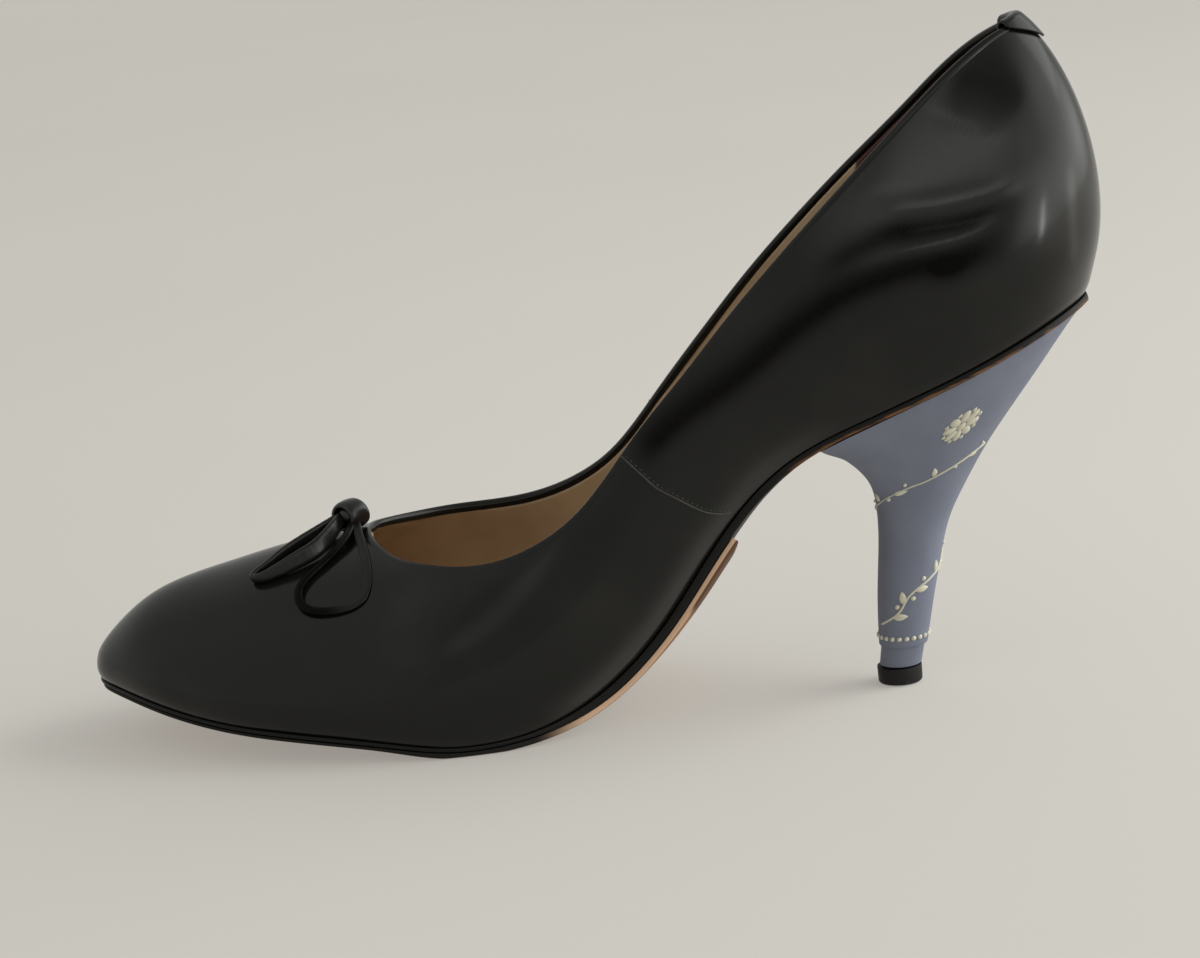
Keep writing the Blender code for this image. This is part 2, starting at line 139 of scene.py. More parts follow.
SECTIONS = tuple(Section(*row) for row in (
    (1.6, -2.0, -2.0, 13.5, 0.6, 0.0, 17.6, 0.0, 90),
    (3.2, -7.6, 3.6, 13.6, 1.9, 0.0, 20.4, 0.0, 90),
    (8.0, -13.4, 9.2, 13.3, 5.8, 0.0, 24.4, 0.0, 90),
    (15.5, -20.2, 15.8, 12.3, 12.6, 0.0, 29.5, 0.0, 90),
    (24.0, -25.6, 21.8, 10.7, 21.5, 0.0, 33.1, 0.0, 90),
    (34.0, -30.0, 27.4, 9.0, 32.5, 0.0, 35.8, 0.0, 90),
    (46.0, -33.4, 32.0, 7.5, 46.0, 0.0, 38.8, 0.0, 90),
    (60.0, -35.3, 35.0, 5.8, 62.8, 0.0, 41.3, 0.0, 90),
    (71.0, -35.8, 36.4, 4.1, 68.2, 14.0, 39.6, 1.2, 68),
    (81.0, -35.2, 36.6, 2.6, 77.0, 23.4, 38.7, 1.0, 52),
    (91.0, -33.0, 35.6, 2.6, 87.5, 28.0, 38.5, 0.7, 40),
    (100.0, -29.8, 33.7, 4.0, 97.0, 29.2, 40.1, 0.4, 30),
    (109.0, -26.2, 31.4, 7.5, 106.0, 28.6, 44.0, 0.1, 22),
    (118.0, -23.2, 28.9, 13.9, 114.5, 27.4, 50.8, -0.4, 16),
    (127.0, -21.1, 26.6, 23.4, 124.0, 26.2, 61.9, -0.6, 11),
    (136.0, -19.9, 24.8, 35.4, 134.0, 25.1, 73.0, 0.3, 9),
    (146.0, -19.7, 23.5, 47.1, 145.0, 24.2, 85.1, 0.5, 8),
    (157.0, -20.7, 23.0, 55.5, 157.0, 23.5, 97.1, 0.2, 9),
    (169.0, -22.2, 23.2, 61.1, 169.0, 22.2, 108.3, -0.3, 11),
    (181.0, -23.2, 23.5, 66.0, 180.0, 20.0, 118.2, -0.8, 15),
    (192.0, -22.8, 22.8, 70.6, 190.0, 16.2, 127.2, -0.5, 21),
    (202.0, -19.4, 19.4, 75.0, 198.4, 11.0, 133.3, -0.3, 31),
    (210.0, -12.4, 12.4, 78.5, 204.1, 5.6, 136.0, 0.0, 42),
    (214.6, 0.0, 0.0, 80.2, 206.3, 0.0, 136.9, 0.0, 47),
))


class Column:
    """A smooth curve through one column of a table, with a knot at each row."""

    def __init__(self, values: Sequence[float], level_start: bool, level_end: bool) -> None:
        """Work out the slope at each row.

        Args:
            values: the column's number at each row.
            level_start: whether the curve starts level.
            level_end: whether the curve ends level.
        """
        count = len(values)
        lines = np.zeros((count, count))
        right = np.zeros(count)
        for row in range(1, count - 1):
            lines[row, row - 1:row + 2] = (1.0, 4.0, 1.0)
            right[row] = 3.0 * (values[row + 1] - values[row - 1])
        for row, beside, level in ((0, 1, level_start), (count - 1, count - 2, level_end)):
            lines[row, row] = 1.0 if level else 2.0
            lines[row, beside] = 0.0 if level else 1.0
            right[row] = 0.0 if level else 3.0 * (values[max(row, beside)] - values[min(row, beside)])
        self.values = [float(value) for value in values]
        self.slopes = [float(slope) for slope in np.linalg.solve(lines, right)]

    def __call__(self, row: float) -> float:
        """The column's number at a row.

        Args:
            row: the row, which may lie between two.

        Returns:
            The number.
        """
        start = min(max(int(row), 0), len(self.values) - 2)
        f = row - start
        rest = 1.0 - f
        return (self.values[start] * (1.0 + 2.0 * f) * rest * rest
                + self.values[start + 1] * (3.0 - 2.0 * f) * f * f
                + self.slopes[start] * f * rest * rest - self.slopes[start + 1] * rest * f * f)

    def slope(self, row: float) -> float:
        """How fast the column changes at a row.

        Args:
            row: the row, which may lie between two.

        Returns:
            The change for one row.
        """
        start = min(max(int(row), 0), len(self.values) - 2)
        f = row - start
        step = self.values[start + 1] - self.values[start]
        return (step * 6.0 * f * (1.0 - f) + self.slopes[start] * (1.0 - f) * (1.0 - 3.0 * f)
                + self.slopes[start + 1] * f * (3.0 * f - 2.0))


def column(rows: Sequence[Any], name: str, level_start: bool = True, level_end: bool = True) -> Column:
    """The curve through one named column of a table."""
    return Column([float(getattr(row, name)) for row in rows], level_start, level_end)


def route_points(route: Route, count: int) -> list[tuple[float, float]]:
    """Points along a smooth route.

    Args:
        route: the bends of the route.
        count: how many steps there are along it.

    Returns:
        The points, one more than the steps.
    """
    first, second = (Column([bend[axis] for bend in route], False, False) for axis in range(2))
    length = len(route) - 1
    return [(first(step * length / count), second(step * length / count)) for step in range(count + 1)]


def rounded(turn: float, along: float = 1.0, across: float = 1.0) -> tuple[float, float]:
    """A point on a circle whose corners are squared.

    Args:
        turn: the turn, from 0 to 1.
        along: the power of its first coordinate, lower for a squarer corner.
        across: the power of its second coordinate.

    Returns:
        The two coordinates.
    """
    c, s = math.cos(math.tau * turn), math.sin(math.tau * turn)
    return math.copysign(abs(c) ** along, c), math.copysign(abs(s) ** across, s)


def ease(value: float, start: float, end: float) -> float:
    """Rise smoothly from 0 at start to 1 at end."""
    f = min(max((value - start) / (end - start), 0.0), 1.0)
    return f * f * (3.0 - 2.0 * f)


@dataclass
class Last:
    """The form that the shoe is made on, as functions of a section's row and a side."""

    flare: float = 38.0
    rise_toe: float = 0.50
    rise_heel: float = 0.30
    reach_toe: float = 0.56
    reach_heel: float = 0.39
    throat: int = 7
    even_rows: float = 1.5
    even_reach: float = 3.0
    heel: int = len(SECTIONS) - 1
    crown: float = 2.0
    waist_start: tuple[float, float] = (92.0, 116.0)
    trim_start: tuple[float, float] = (88.0, 112.0)
    trim_end: tuple[float, float] = (140.0, 160.0)
    seat_start: tuple[float, float] = (150.0, 168.0)

    def __post_init__(self) -> None:
        """Fit a curve to each column of the sections."""
        vamp, quarter = SECTIONS[:self.throat + 1], SECTIONS[self.throat:]
        self.x = column(SECTIONS, "x")
        self.edge = {Side.INNER: column(SECTIONS, "inner", False, False),
                     Side.OUTER: column(SECTIONS, "outer", False, False)}
        self.feather_z = column(SECTIONS, "feather_z")
        self.crest_x = column(vamp, "top_x", True, False)
        self.crest_z = column(vamp, "top_z", False, False)
        self.top_x = column(quarter, "top_x")
        self.top_half = column(quarter, "top_half", False, False)
        self.top_z = column(quarter, "top_z")
        self.top_tilt = column(quarter, "top_tilt")
        self.lean = column(quarter, "lean")

    def feather(self, row: float, side: Side) -> Vector:
        """The point where the upper meets the sole."""
        return Vector((self.x(row), self.edge[side](row), self.feather_z(row)))

    def outward(self, row: float, side: Side) -> Vector:
        """The level direction out of the shoe, square to the feather line."""
        return Vector((-side * self.edge[side].slope(row), side * self.x.slope(row), 0.0)).normalized()

    def top(self, row: float, side: Side) -> tuple[Vector, float]:
        """The top of the wall.

        Args:
            row: the section's row.
            side: the half of the shoe.

        Returns:
            The point on the crest of the vamp or on the top line, and the wall's lean there.
        """
        if row <= self.throat:
            middle = 0.5 * (self.edge[Side.INNER](row) + self.edge[Side.OUTER](row))
            middle *= 1.0 - (row / self.throat) ** 2
            return Vector((self.crest_x(row), middle, self.crest_z(row))), 0.5 * math.pi
        past = row - self.throat
        height = self.top_z(past) + 0.5 * side * self.top_tilt(past)
        return (Vector((self.top_x(past), side * self.top_half(past), height)),
                math.radians(self.lean(past)))

    def wall(self, row: float, side: Side, up: float) -> Vector:
        """A point on the outside of the upper, evened out where the vamp turns into the quarters.

        Args:
            row: the section's row.
            side: the half of the shoe.
            up: 0 at the feather line to 1 at the top.

        Returns:
            The point.
        """
        spread = self.even_rows * ease(1.0 - up, 0.0, 0.14) * ease(
            self.even_reach - abs(row - self.throat), 0.0, self.even_reach)
        if spread < 0.01:
            return self.plain_wall(row, side, up)
        total, point = 0.0, Vector()
        for step in range(-4, 5):
            weight = 5.0 - abs(step)
            point += weight * self.plain_wall(row + spread * step / 5.0, side, up)
            total += weight
        return point / total

    def plain_wall(self, row: float, side: Side, up: float) -> Vector:
        """A point on the outside of the upper, straight from the sections.

        Args:
            row: the section's row.
            side: the half of the shoe.
            up: 0 at the feather line to 1 at the top.

        Returns:
            The point.
        """
        foot = self.feather(row, side)
        head, lean = self.top(row, side)
        turn = ease(row, self.throat, self.heel)
        out = self.outward(row, side)
        head_out = (out * turn + Vector((0.0, side, 0.0)) * (1.0 - turn)).normalized()
        height = head.z - foot.z
        breadth = abs((head - foot).dot(head_out))
        along = row / self.heel
        rise = height * (self.rise_toe + (self.rise_heel - self.rise_toe) * along)
        reach = self.reach_toe + (self.reach_heel - self.reach_toe) * along
        reach *= height * math.cos(lean) + breadth * math.sin(lean)
        flare = math.radians(self.flare)
        vertical = Vector((0.0, 0.0, 1.0))
        low = foot + rise * (vertical * math.cos(flare) + out * math.sin(flare))
        high = head - reach * (vertical * math.cos(lean) - head_out * math.sin(lean))
        rest = 1.0 - up
        return (foot * rest ** 3 + low * 3.0 * rest * rest * up
                + high * 3.0 * rest * up * up + head * up ** 3)

    def wall_normal(self, row: float, side: Side, up: float) -> Vector:
        """The direction square to the upper.

        Args:
            row: the section's row.
            side: the half of the shoe.
            up: 0 at the feather line to 1 at the top.

        Returns:
            The direction out of the shoe.
        """
        step = 0.01
        row_low, row_high = max(row - step, 0.0), min(row + step, self.heel)
        up_low, up_high = max(up - step, 0.0), min(up + step, 1.0)
        along = self.wall(row_high, side, up) - self.wall(row_low, side, up)
        rising = self.wall(row, side, up_high) - self.wall(row, side, up_low)
        return (along.cross(rising) * -side).normalized()

    def row_at(self, x: float) -> float:
        """Find the section whose feather line is at a place.

        Args:
            x: the place along the shoe.

        Returns:
            The section's row.
        """
        if x >= SECTIONS[-1].x:
            return float(self.heel)
        low, high = 0.0, float(self.heel)
        for _ in range(40):
            middle = 0.5 * (low + high)
            low, high = (middle, high) if self.x(middle) < x else (low, middle)
        return low

    def trimmed(self, x: float) -> float:
        """How far the sole's edge is trimmed at this length, from 0 to 1 at the waist."""
        return ease(x, *self.trim_start) * (1.0 - ease(x, *self.trim_end))

    def bottom(self, row: float, across: float, margin: float, depth: float) -> Vector:
        """A point under the foot.

        Args:
            row: the section's row.
            across: 0 at the inner edge to 1 at the outer edge.
            margin: how far the edges stand out past the feather line.
            depth: how far the point lies under the feather line.

        Returns:
            The point.
        """
        inner = self.feather(row, Side.INNER) + self.outward(row, Side.INNER) * margin
        outer = self.feather(row, Side.OUTER) + self.outward(row, Side.OUTER) * margin
        near = min(max(row, 0.2), self.heel - 0.2)
        down = Vector((self.feather_z.slope(near), 0.0, -self.x.slope(near))).normalized()
        x = self.x(row)
        belly = self.crown * ease(x, *self.waist_start) * (1.0 - ease(x, *self.seat_start))
        return inner.lerp(outer, across) + down * (depth + belly * 4.0 * across * (1.0 - across))


def mapped_grid(mesh: bmesh.types.BMesh, along: int, across: int,
                place: Place) -> list[bmesh.types.BMVert]:
    """Add a grid of faces whose points are set by a function.

    Args:
        mesh: the mesh that takes the grid.
        along: how many faces one way.
        across: how many faces the other way.
        place: gives a point for two numbers from 0 to 1.

    Returns:
        The grid's points.
    """
    made = bmesh.ops.create_grid(mesh, x_segments=along, y_segments=across, size=0.5)["verts"]
    for vert in made:
        vert.co = place(vert.co.x + 0.5, vert.co.y + 0.5)
    return made


def weld(mesh: bmesh.types.BMesh) -> None:
    """Merge the points that meet."""
    bmesh.ops.remove_doubles(mesh, verts=mesh.verts, dist=WELD_REACH)


def face_outwards(mesh: bmesh.types.BMesh) -> None:
    """Turn the faces of a closed piece so that all of them point out.

    Args:
        mesh: the piece's mesh.
    """
    bmesh.ops.recalc_face_normals(mesh, faces=mesh.faces)
    if mesh.calc_volume(signed=True) < 0.0:
        bmesh.ops.reverse_faces(mesh, faces=mesh.faces)


def slab(along: int, across: int, upper_face: Place, lower_face: Place,
         rounding: float = 0.0) -> bmesh.types.BMesh:
    """A closed sheet between two mapped faces, bridged round its edge.

    Its points carry a depth, which is 0 on the upper face and 1 on the lower one.

    Args:
        along: how many faces along it.
        across: how many faces across it.
        upper_face: gives the points of its upper face.
        lower_face: gives the points of its lower face.
        rounding: how far its edges are rounded off.

    Returns:
        The mesh.
    """
    mesh = bmesh.new()
    layer = mesh.verts.layers.float.new("depth")
    for number, face in enumerate((upper_face, lower_face)):
        for vert in mapped_grid(mesh, along, across, face):
            vert[layer] = float(number)
    weld(mesh)
    rim = [edge for edge in mesh.edges if edge.is_boundary]
    bmesh.ops.bridge_loops(mesh, edges=rim)
    face_outwards(mesh)
    if rounding:
        mesh.normal_update()
        round_off(mesh, sharp_edges(mesh), rounding, 2)
    return mesh


def sharp_edges(mesh: bmesh.types.BMesh) -> list[bmesh.types.BMEdge]:
    """The edges where two faces meet sharply."""
    return [edge for edge in mesh.edges
            if edge.is_manifold and edge.calc_face_angle() > math.radians(SHARP_ANGLE)]


def round_off(mesh: bmesh.types.BMesh, edges: list[bmesh.types.BMEdge], amount: float, cuts: int) -> None:
    """Bevel a few edges to a round."""
    bmesh.ops.bevel(mesh, geom=edges, offset=amount, segments=cuts, profile=0.5, affect="EDGES", material=-1)


def tube(around: int, along: int, place: Place, ring: bool = False) -> bmesh.types.BMesh:
    """A closed tube.

    Args:
        around: how many faces round it.
        along: how many faces along it.
        place: gives a point for the turn and the way along, each from 0 to 1.
        ring: whether the far end joins the near one.

    Returns:
        The mesh.
    """
    mesh = bmesh.new()
    mapped_grid(mesh, around, along,
                lambda turn, way: place(turn % 1.0, way % 1.0 if ring else way))
    weld(mesh)
    rim = [edge for edge in mesh.edges if edge.is_boundary]
    if rim:
        bmesh.ops.holes_fill(mesh, edges=rim, sides=0)
    face_outwards(mesh)
    return mesh


def absorb(mesh: bmesh.types.BMesh, other: bmesh.types.BMesh) -> None:
    """Move the faces of another mesh into this one.

    Args:
        mesh: the mesh that takes them.
        other: the other mesh, which is freed.
    """
    data = bpy.data.meshes.new("part")
    other.to_mesh(data)
    other.free()
    mesh.from_mesh(data)
    bpy.data.meshes.remove(data)


class Signal:
    """A number from a node, with operators that add Math nodes."""

    def __init__(self, recipe: "Recipe", socket: bpy.types.NodeSocket) -> None:
        """Keep the socket and the recipe that takes its nodes."""
        self.recipe = recipe
        self.socket = socket

    def _math(self, operation: str, first: Any, second: Any) -> "Signal":
        """The result of a Math node on two numbers."""
        made = self.recipe.node("ShaderNodeMath", {"operation": operation}, {0: first, 1: second})
        return Signal(self.recipe, made.outputs[0])

    def __add__(self, other: Any) -> "Signal":
        """The sum."""
        return self._math("ADD", self, other)

    def __radd__(self, other: Any) -> "Signal":
        """The sum."""
        return self._math("ADD", other, self)

    def __sub__(self, other: Any) -> "Signal":
        """The difference."""
        return self._math("SUBTRACT", self, other)

    def __rsub__(self, other: Any) -> "Signal":
        """The difference from a number."""
        return self._math("SUBTRACT", other, self)

    def __mul__(self, other: Any) -> "Signal":
        """The product."""
        return self._math("MULTIPLY", self, other)

    def __rmul__(self, other: Any) -> "Signal":
        """The product."""
        return self._math("MULTIPLY", other, self)

    def clamped(self) -> "Signal":
        """The number held between 0 and 1."""
        made = self.recipe.node("ShaderNodeClamp", sockets={0: self})
        return Signal(self.recipe, made.outputs[0])

    def between(self, low: float, high: float) -> "Signal":
        """Rise smoothly from 0 at one value to 1 at another.

        Args:
            low: the value where it is 0.
            high: the value where it is 1, which may be the lower of the two.

        Returns:
            The number from 0 to 1.
        """
        made = self.recipe.node(
            "ShaderNodeMapRange", {"interpolation_type": "SMOOTHSTEP"},
            {"Value": self, "From Min": min(low, high), "From Max": max(low, high)})
        rise = Signal(self.recipe, made.outputs[0])
        return rise if low < high else 1.0 - rise


class Recipe:
    """A node tree that is being put together, for a material or for the world."""

    def __init__(self, owner: Any) -> None:
        """Start from the owner's own nodes.

        Args:
            owner: the material or the world.
        """
        owner.use_nodes = True
        self.owner = owner
        self.tree = owner.node_tree

    @classmethod
    def material(cls, name: str) -> "Recipe":
        """Start a new material."""
        return cls(bpy.data.materials.new(name))

    def feed(self, socket: bpy.types.NodeSocket, value: Any) -> None:
        """Link a signal or a socket to an input, or set the input's own value.

        Args:
            socket: the input.
            value: the signal, the socket or the value.
        """
        if isinstance(value, Signal):
            value = value.socket
        if isinstance(value, bpy.types.NodeSocket):
            self.tree.links.new(value, socket)
        else:
            socket.default_value = value

    def node(self, kind: str, settings: dict[str, Any] | None = None,
             sockets: dict[Any, Any] | None = None) -> bpy.types.Node:
        """Add a node.

        Args:
            kind: the node's type.
            settings: its own settings, which are set first.
            sockets: the values or links of its inputs, by name or by number.

        Returns:
            The node.
        """
        made = self.tree.nodes.new(kind)
        for name, value in (settings or {}).items():
            setattr(made, name, value)
        for name, value in (sockets or {}).items():
            self.feed(made.inputs[name], value)
        return made

    def coordinates(self) -> bpy.types.NodeSocket:
        """The piece's own coordinates in metres."""
        return self.node("ShaderNodeTexCoord").outputs["Object"]

    def axis(self, number: int) -> Signal:
        """One of the piece's own coordinates, in metres."""
        split = self.node("ShaderNodeSeparateXYZ", sockets={0: self.coordinates()})
        return Signal(self, split.outputs[number])

    def mark(self, name: str) -> Signal:
        """A number that the mesh carries at its points."""
        return Signal(self, self.node("ShaderNodeAttribute", {"attribute_name": name}).outputs["Fac"])

    def noise(self, scale: float, detail: float = 2.0,
              stretch: tuple[float, float, float] = (1.0, 1.0, 1.0)) -> Signal:
        """Soft noise.

        Args:
            scale: how many features there are in a metre.
            detail: how many finer layers it has.
            stretch: how much it is squeezed along each axis.

        Returns:
            A number from about 0 to 1.
        """
        mapped = self.node("ShaderNodeMapping", sockets={0: self.coordinates(), "Scale": stretch})
        made = self.node("ShaderNodeTexNoise", sockets={
            "Vector": mapped.outputs[0], "Scale": scale, "Detail": detail, "Roughness": 0.55})
        return Signal(self, made.outputs[0])

    def pebbles(self, scale: float) -> Signal:
        """Rounded cells.

        Args:
            scale: how many there are along a metre.

        Returns:
            The distance from the middle of each one.
        """
        made = self.node("ShaderNodeTexVoronoi", {"feature": "SMOOTH_F1"}, {
            "Vector": self.coordinates(), "Scale": scale, "Smoothness": 0.6})
        return Signal(self, made.outputs["Distance"])

    def blend(self, amount: Any, first: Any, second: Any) -> bpy.types.NodeSocket:
        """A colour between two colours."""
        made = self.node("ShaderNodeMix", {"data_type": "RGBA"}, {0: amount, 6: first, 7: second})
        return made.outputs[2]

    def bump(self, height: Signal, depth: float,
             under: bpy.types.NodeSocket | None = None) -> bpy.types.NodeSocket:
        """Roughen a surface.

        Args:
            height: the height, from 0 to 1.
            depth: how many millimetres deep that is.
            under: a coarser bump that it lies on.

        Returns:
            The surface's direction.
        """
        sockets = {"Height": height, "Distance": depth * MM, "Strength": 1.0}
        if under is not None:
            sockets["Normal"] = under
        return self.node("ShaderNodeBump", sockets=sockets).outputs[0]

    def finish(self, **inputs: Any) -> bpy.types.Material:
        """Set the shader's inputs.

        Args:
            inputs: the values or links, each named with _ for a space.

        Returns:
            The material.
        """
        shader = self.tree.nodes["Principled BSDF"]
        for name, value in inputs.items():
            self.feed(shader.inputs[name.replace("_", " ")], value)
        return self.owner


@dataclass(frozen=True)
class BlackCalf:
    """Polished black calf with a fine grain, with painted shade in its creases and painted highlights."""

    name: str = "black_calf"
    colour: Colour = (0.0048, 0.0050, 0.0042, 1.0)
    rubbed_and_sheen: Colour = (0.0085, 0.0085, 0.0070, 1.0)
    # Painted shade colour for creases and hollows that fall in shade.
    painted_crease_shade: Colour = (0.0022, 0.0021, 0.0020, 1.0)
    roughness: float = 0.24
    shine: float = 0.05
    polish: float = 0.46
    polish_roughness: float = 0.16
    grain_depth: float = 0.012
    wave_depth: float = 0.16
    cloud_scale: float = 55.0
    fine_scale: float = 700.0
    wave_scale: float = 38.0
    grain_scale: float = 1900.0

    def material(self) -> bpy.types.Material:
        """Build the material.

        Returns:
            The material.
        """
        recipe = Recipe.material(self.name)
        cloud = recipe.noise(self.cloud_scale, 3.0)
        fine = recipe.noise(self.fine_scale)
        # This mark is painted light: above zero it darkens the calf and takes off its polish as painted
        # shade in creases and hollows, below zero it adds polish as painted highlights.
        painted_shading = recipe.mark("painted_shading")
        wave = recipe.bump(recipe.noise(self.wave_scale, 1.0), self.wave_depth)
        grain = recipe.bump(recipe.pebbles(self.grain_scale) + fine * 0.5, self.grain_depth, wave)
        calf = recipe.blend(cloud.between(0.45, 0.8), self.colour, self.rubbed_and_sheen)
        kept = 1.0 - painted_shading * (0.85 + fine * 0.3)
        return recipe.finish(
            Base_Color=recipe.blend(painted_shading.clamped(), calf, self.painted_crease_shade),
            Roughness=self.roughness + cloud * 0.08 + fine * 0.06 - 0.07,
            Specular_IOR_Level=self.shine, Coat_Roughness=self.polish_roughness,
            Coat_Weight=(kept * (self.polish + cloud * 0.08 - 0.04)).clamped(), Normal=grain)


@dataclass(frozen=True)
class SeamEdge:
    """The folded edge and stitches of a seam, in a grey that is partly rubbed leather and partly a painted
    highlight along the edge.
    """

    name: str = "calf_seam"
    # Lighter than the calf: real rubbing and a painted highlight along the seam's edge.
    colour: Colour = (0.014, 0.014, 0.012, 1.0)
    rubbed_and_sheen: Colour = (0.034, 0.033, 0.028, 1.0)
    rub_scale: float = 500.0
    grain_scale: float = 2500.0
    grain_depth: float = 0.02

    def material(self) -> bpy.types.Material:
        """Build the material.

        Returns:
            The material.
        """
        recipe = Recipe.material(self.name)
        rub = recipe.noise(self.rub_scale, 3.0)
        return recipe.finish(
            Base_Color=recipe.blend(rub.between(0.35, 0.7), self.colour, self.rubbed_and_sheen),
            Roughness=0.42 + rub * 0.2,
            Normal=recipe.bump(recipe.noise(self.grain_scale), self.grain_depth))


@dataclass(frozen=True)
class LiningLeather:
    """Tan lining leather, with a darker counter lining round the heel."""

    name: str = "lining_leather"
    colour: Colour = (0.60, 0.44, 0.275, 1.0)
    wear_and_painted_shading: Colour = (0.50, 0.355, 0.215, 1.0)
    counter: Colour = (0.085, 0.030, 0.024, 1.0)
    counter_start: float = 0.0468
    counter_lean: float = 0.12
    counter_edge: float = 0.0008
    cloud_scale: float = 70.0
    nap_scale: float = 1500.0
    nap_depth: float = 0.02

    def material(self) -> bpy.types.Material:
        """Build the material.

        Returns:
            The material.
        """
        recipe = Recipe.material(self.name)
        cloud = recipe.noise(self.cloud_scale, 3.0)
        nap = recipe.noise(self.nap_scale, 3.0)
        tan = recipe.blend(cloud.between(0.35, 0.75), self.colour, self.wear_and_painted_shading)
        lean = recipe.axis(0) - recipe.axis(2) * self.counter_lean
        behind = lean.between(self.counter_start, self.counter_start + self.counter_edge)
        return recipe.finish(
            Base_Color=recipe.blend(behind, tan, self.counter),
            Roughness=0.5 + nap * 0.2, Normal=recipe.bump(nap, self.nap_depth))


@dataclass(frozen=True)
class SoleEdge:
    """Blackened sole edge, worn back to brown in a strip along the heel seat."""

    name: str = "black_edge"
    colour: Colour = (0.0052, 0.0050, 0.0046, 1.0)
    brown: Colour = (0.15, 0.072, 0.032, 1.0)
    shine: float = 0.18
    strip_start: float = 0.040
    strip_fade: float = 0.010
    streak_scale: float = 260.0
    streak_stretch: tuple[float, float, float] = (0.35, 0.35, 2.0)
    fine_scale: float = 1600.0
    streak_depth: float = 0.03

    def material(self) -> bpy.types.Material:
        """Build the material.

        Returns:
            The material.
        """
        recipe = Recipe.material(self.name)
        streak = recipe.noise(self.streak_scale, 3.0, self.streak_stretch)
        fine = recipe.noise(self.fine_scale)
        low = (recipe.mark("depth") + streak * 0.5 - 0.25).between(0.50, 0.80)
        seat = recipe.axis(0).between(self.strip_start, self.strip_start + self.strip_fade)
        wear_and_painted_shading = low * seat * streak.between(0.25, 0.6)
        return recipe.finish(
            Base_Color=recipe.blend(wear_and_painted_shading, self.colour, self.brown), Specular_IOR_Level=self.shine,
            Roughness=0.36 + fine * 0.2 + wear_and_painted_shading * 0.2,
            Normal=recipe.bump(streak + fine * 0.4, self.streak_depth))


@dataclass(frozen=True)
class SoleLeather:
    """Tread leather: a tan edge at the waist, a blackened edge in the forepart, a walked-on face."""

    name: str = "sole_leather"
    edge: Colour = (0.56, 0.37, 0.245, 1.0)
    face: Colour = (0.27, 0.135, 0.065, 1.0)
    trodden: Colour = (0.115, 0.075, 0.050, 1.0)
    blackened: Colour = (0.0060, 0.0056, 0.0050, 1.0)
    brown: Colour = (0.115, 0.058, 0.030, 1.0)
    black_end: float = -0.012
    black_fade: float = 0.012
    brown_start: float = 0.0205
    brown_fade: float = 0.002
    shine: float = 0.22
    cloud_scale: float = 90.0
    scratch_scale: float = 420.0
    scratch_stretch: tuple[float, float, float] = (0.25, 1.0, 1.0)
    fibre_scale: float = 1400.0
    scratch_depth: float = 0.05

    def material(self) -> bpy.types.Material:
        """Build the material.

        Returns:
            The material.
        """
        recipe = Recipe.material(self.name)
        cloud = recipe.noise(self.cloud_scale, 4.0)
        scratch = recipe.noise(self.scratch_scale, 3.0, self.scratch_stretch)
        fibre = recipe.noise(self.fibre_scale, 3.0)
        depth = recipe.mark("depth")
        under = depth.between(0.90, 0.995)
        along = recipe.axis(0)
        ball = along.between(-0.085, -0.06) * along.between(0.012, -0.006)
        walked = recipe.blend((cloud.between(0.3, 0.7) * 0.5 + 0.4) * ball, self.face, self.trodden)
        rim = recipe.blend(along.between(self.black_end, self.black_end + self.black_fade),
                           self.blackened, self.edge)
        lower = depth.between(0.55, 0.68) * along.between(
            self.brown_start, self.brown_start + self.brown_fade)
        return recipe.finish(
            Base_Color=recipe.blend(lower, recipe.blend(under, rim, walked), self.brown),
            Specular_IOR_Level=self.shine, Roughness=0.5 + scratch * 0.25,
            Normal=recipe.bump(scratch + fibre * 0.4, self.scratch_depth))


@dataclass(frozen=True)
class Stoneware:
    """Matt pale blue stoneware with a fine biscuit grain."""

    name: str = "blue_stoneware"
    colour: Colour = (0.150, 0.166, 0.216, 1.0)
    darker: Colour = (0.121, 0.135, 0.180, 1.0)
    cloud_scale: float = 120.0
    biscuit_scale: float = 2600.0
    biscuit_depth: float = 0.018

    def material(self) -> bpy.types.Material:
        """Build the material.

        Returns:
            The material.
        """
        recipe = Recipe.material(self.name)
        cloud = recipe.noise(self.cloud_scale, 3.0)
        biscuit = recipe.noise(self.biscuit_scale)
        amount = cloud.between(0.3, 0.75) * 0.6 + biscuit.between(0.5, 0.8) * 0.3
        return recipe.finish(
            Base_Color=recipe.blend(amount, self.colour, self.darker),
            Roughness=0.56 + biscuit * 0.16, Normal=recipe.bump(biscuit, self.biscuit_depth))


@dataclass(frozen=True)
class ReliefStoneware:
    """Cream-white stoneware that lets the blue through where it is thin."""

    name: str = "white_stoneware"
    colour: Colour = (0.54, 0.52, 0.41, 1.0)
    thin: Colour = (0.32, 0.33, 0.33, 1.0)
    biscuit_scale: float = 3000.0
    biscuit_depth: float = 0.015

    def material(self) -> bpy.types.Material:
        """Build the material.

        Returns:
            The material.
        """
        recipe = Recipe.material(self.name)
        biscuit = recipe.noise(self.biscuit_scale)
        cover = recipe.mark("lift").between(0.0, 0.45)
        return recipe.finish(
            Base_Color=recipe.blend(cover, self.thin, self.colour),
            Roughness=0.55 + biscuit * 0.16, Normal=recipe.bump(biscuit, self.biscuit_depth))


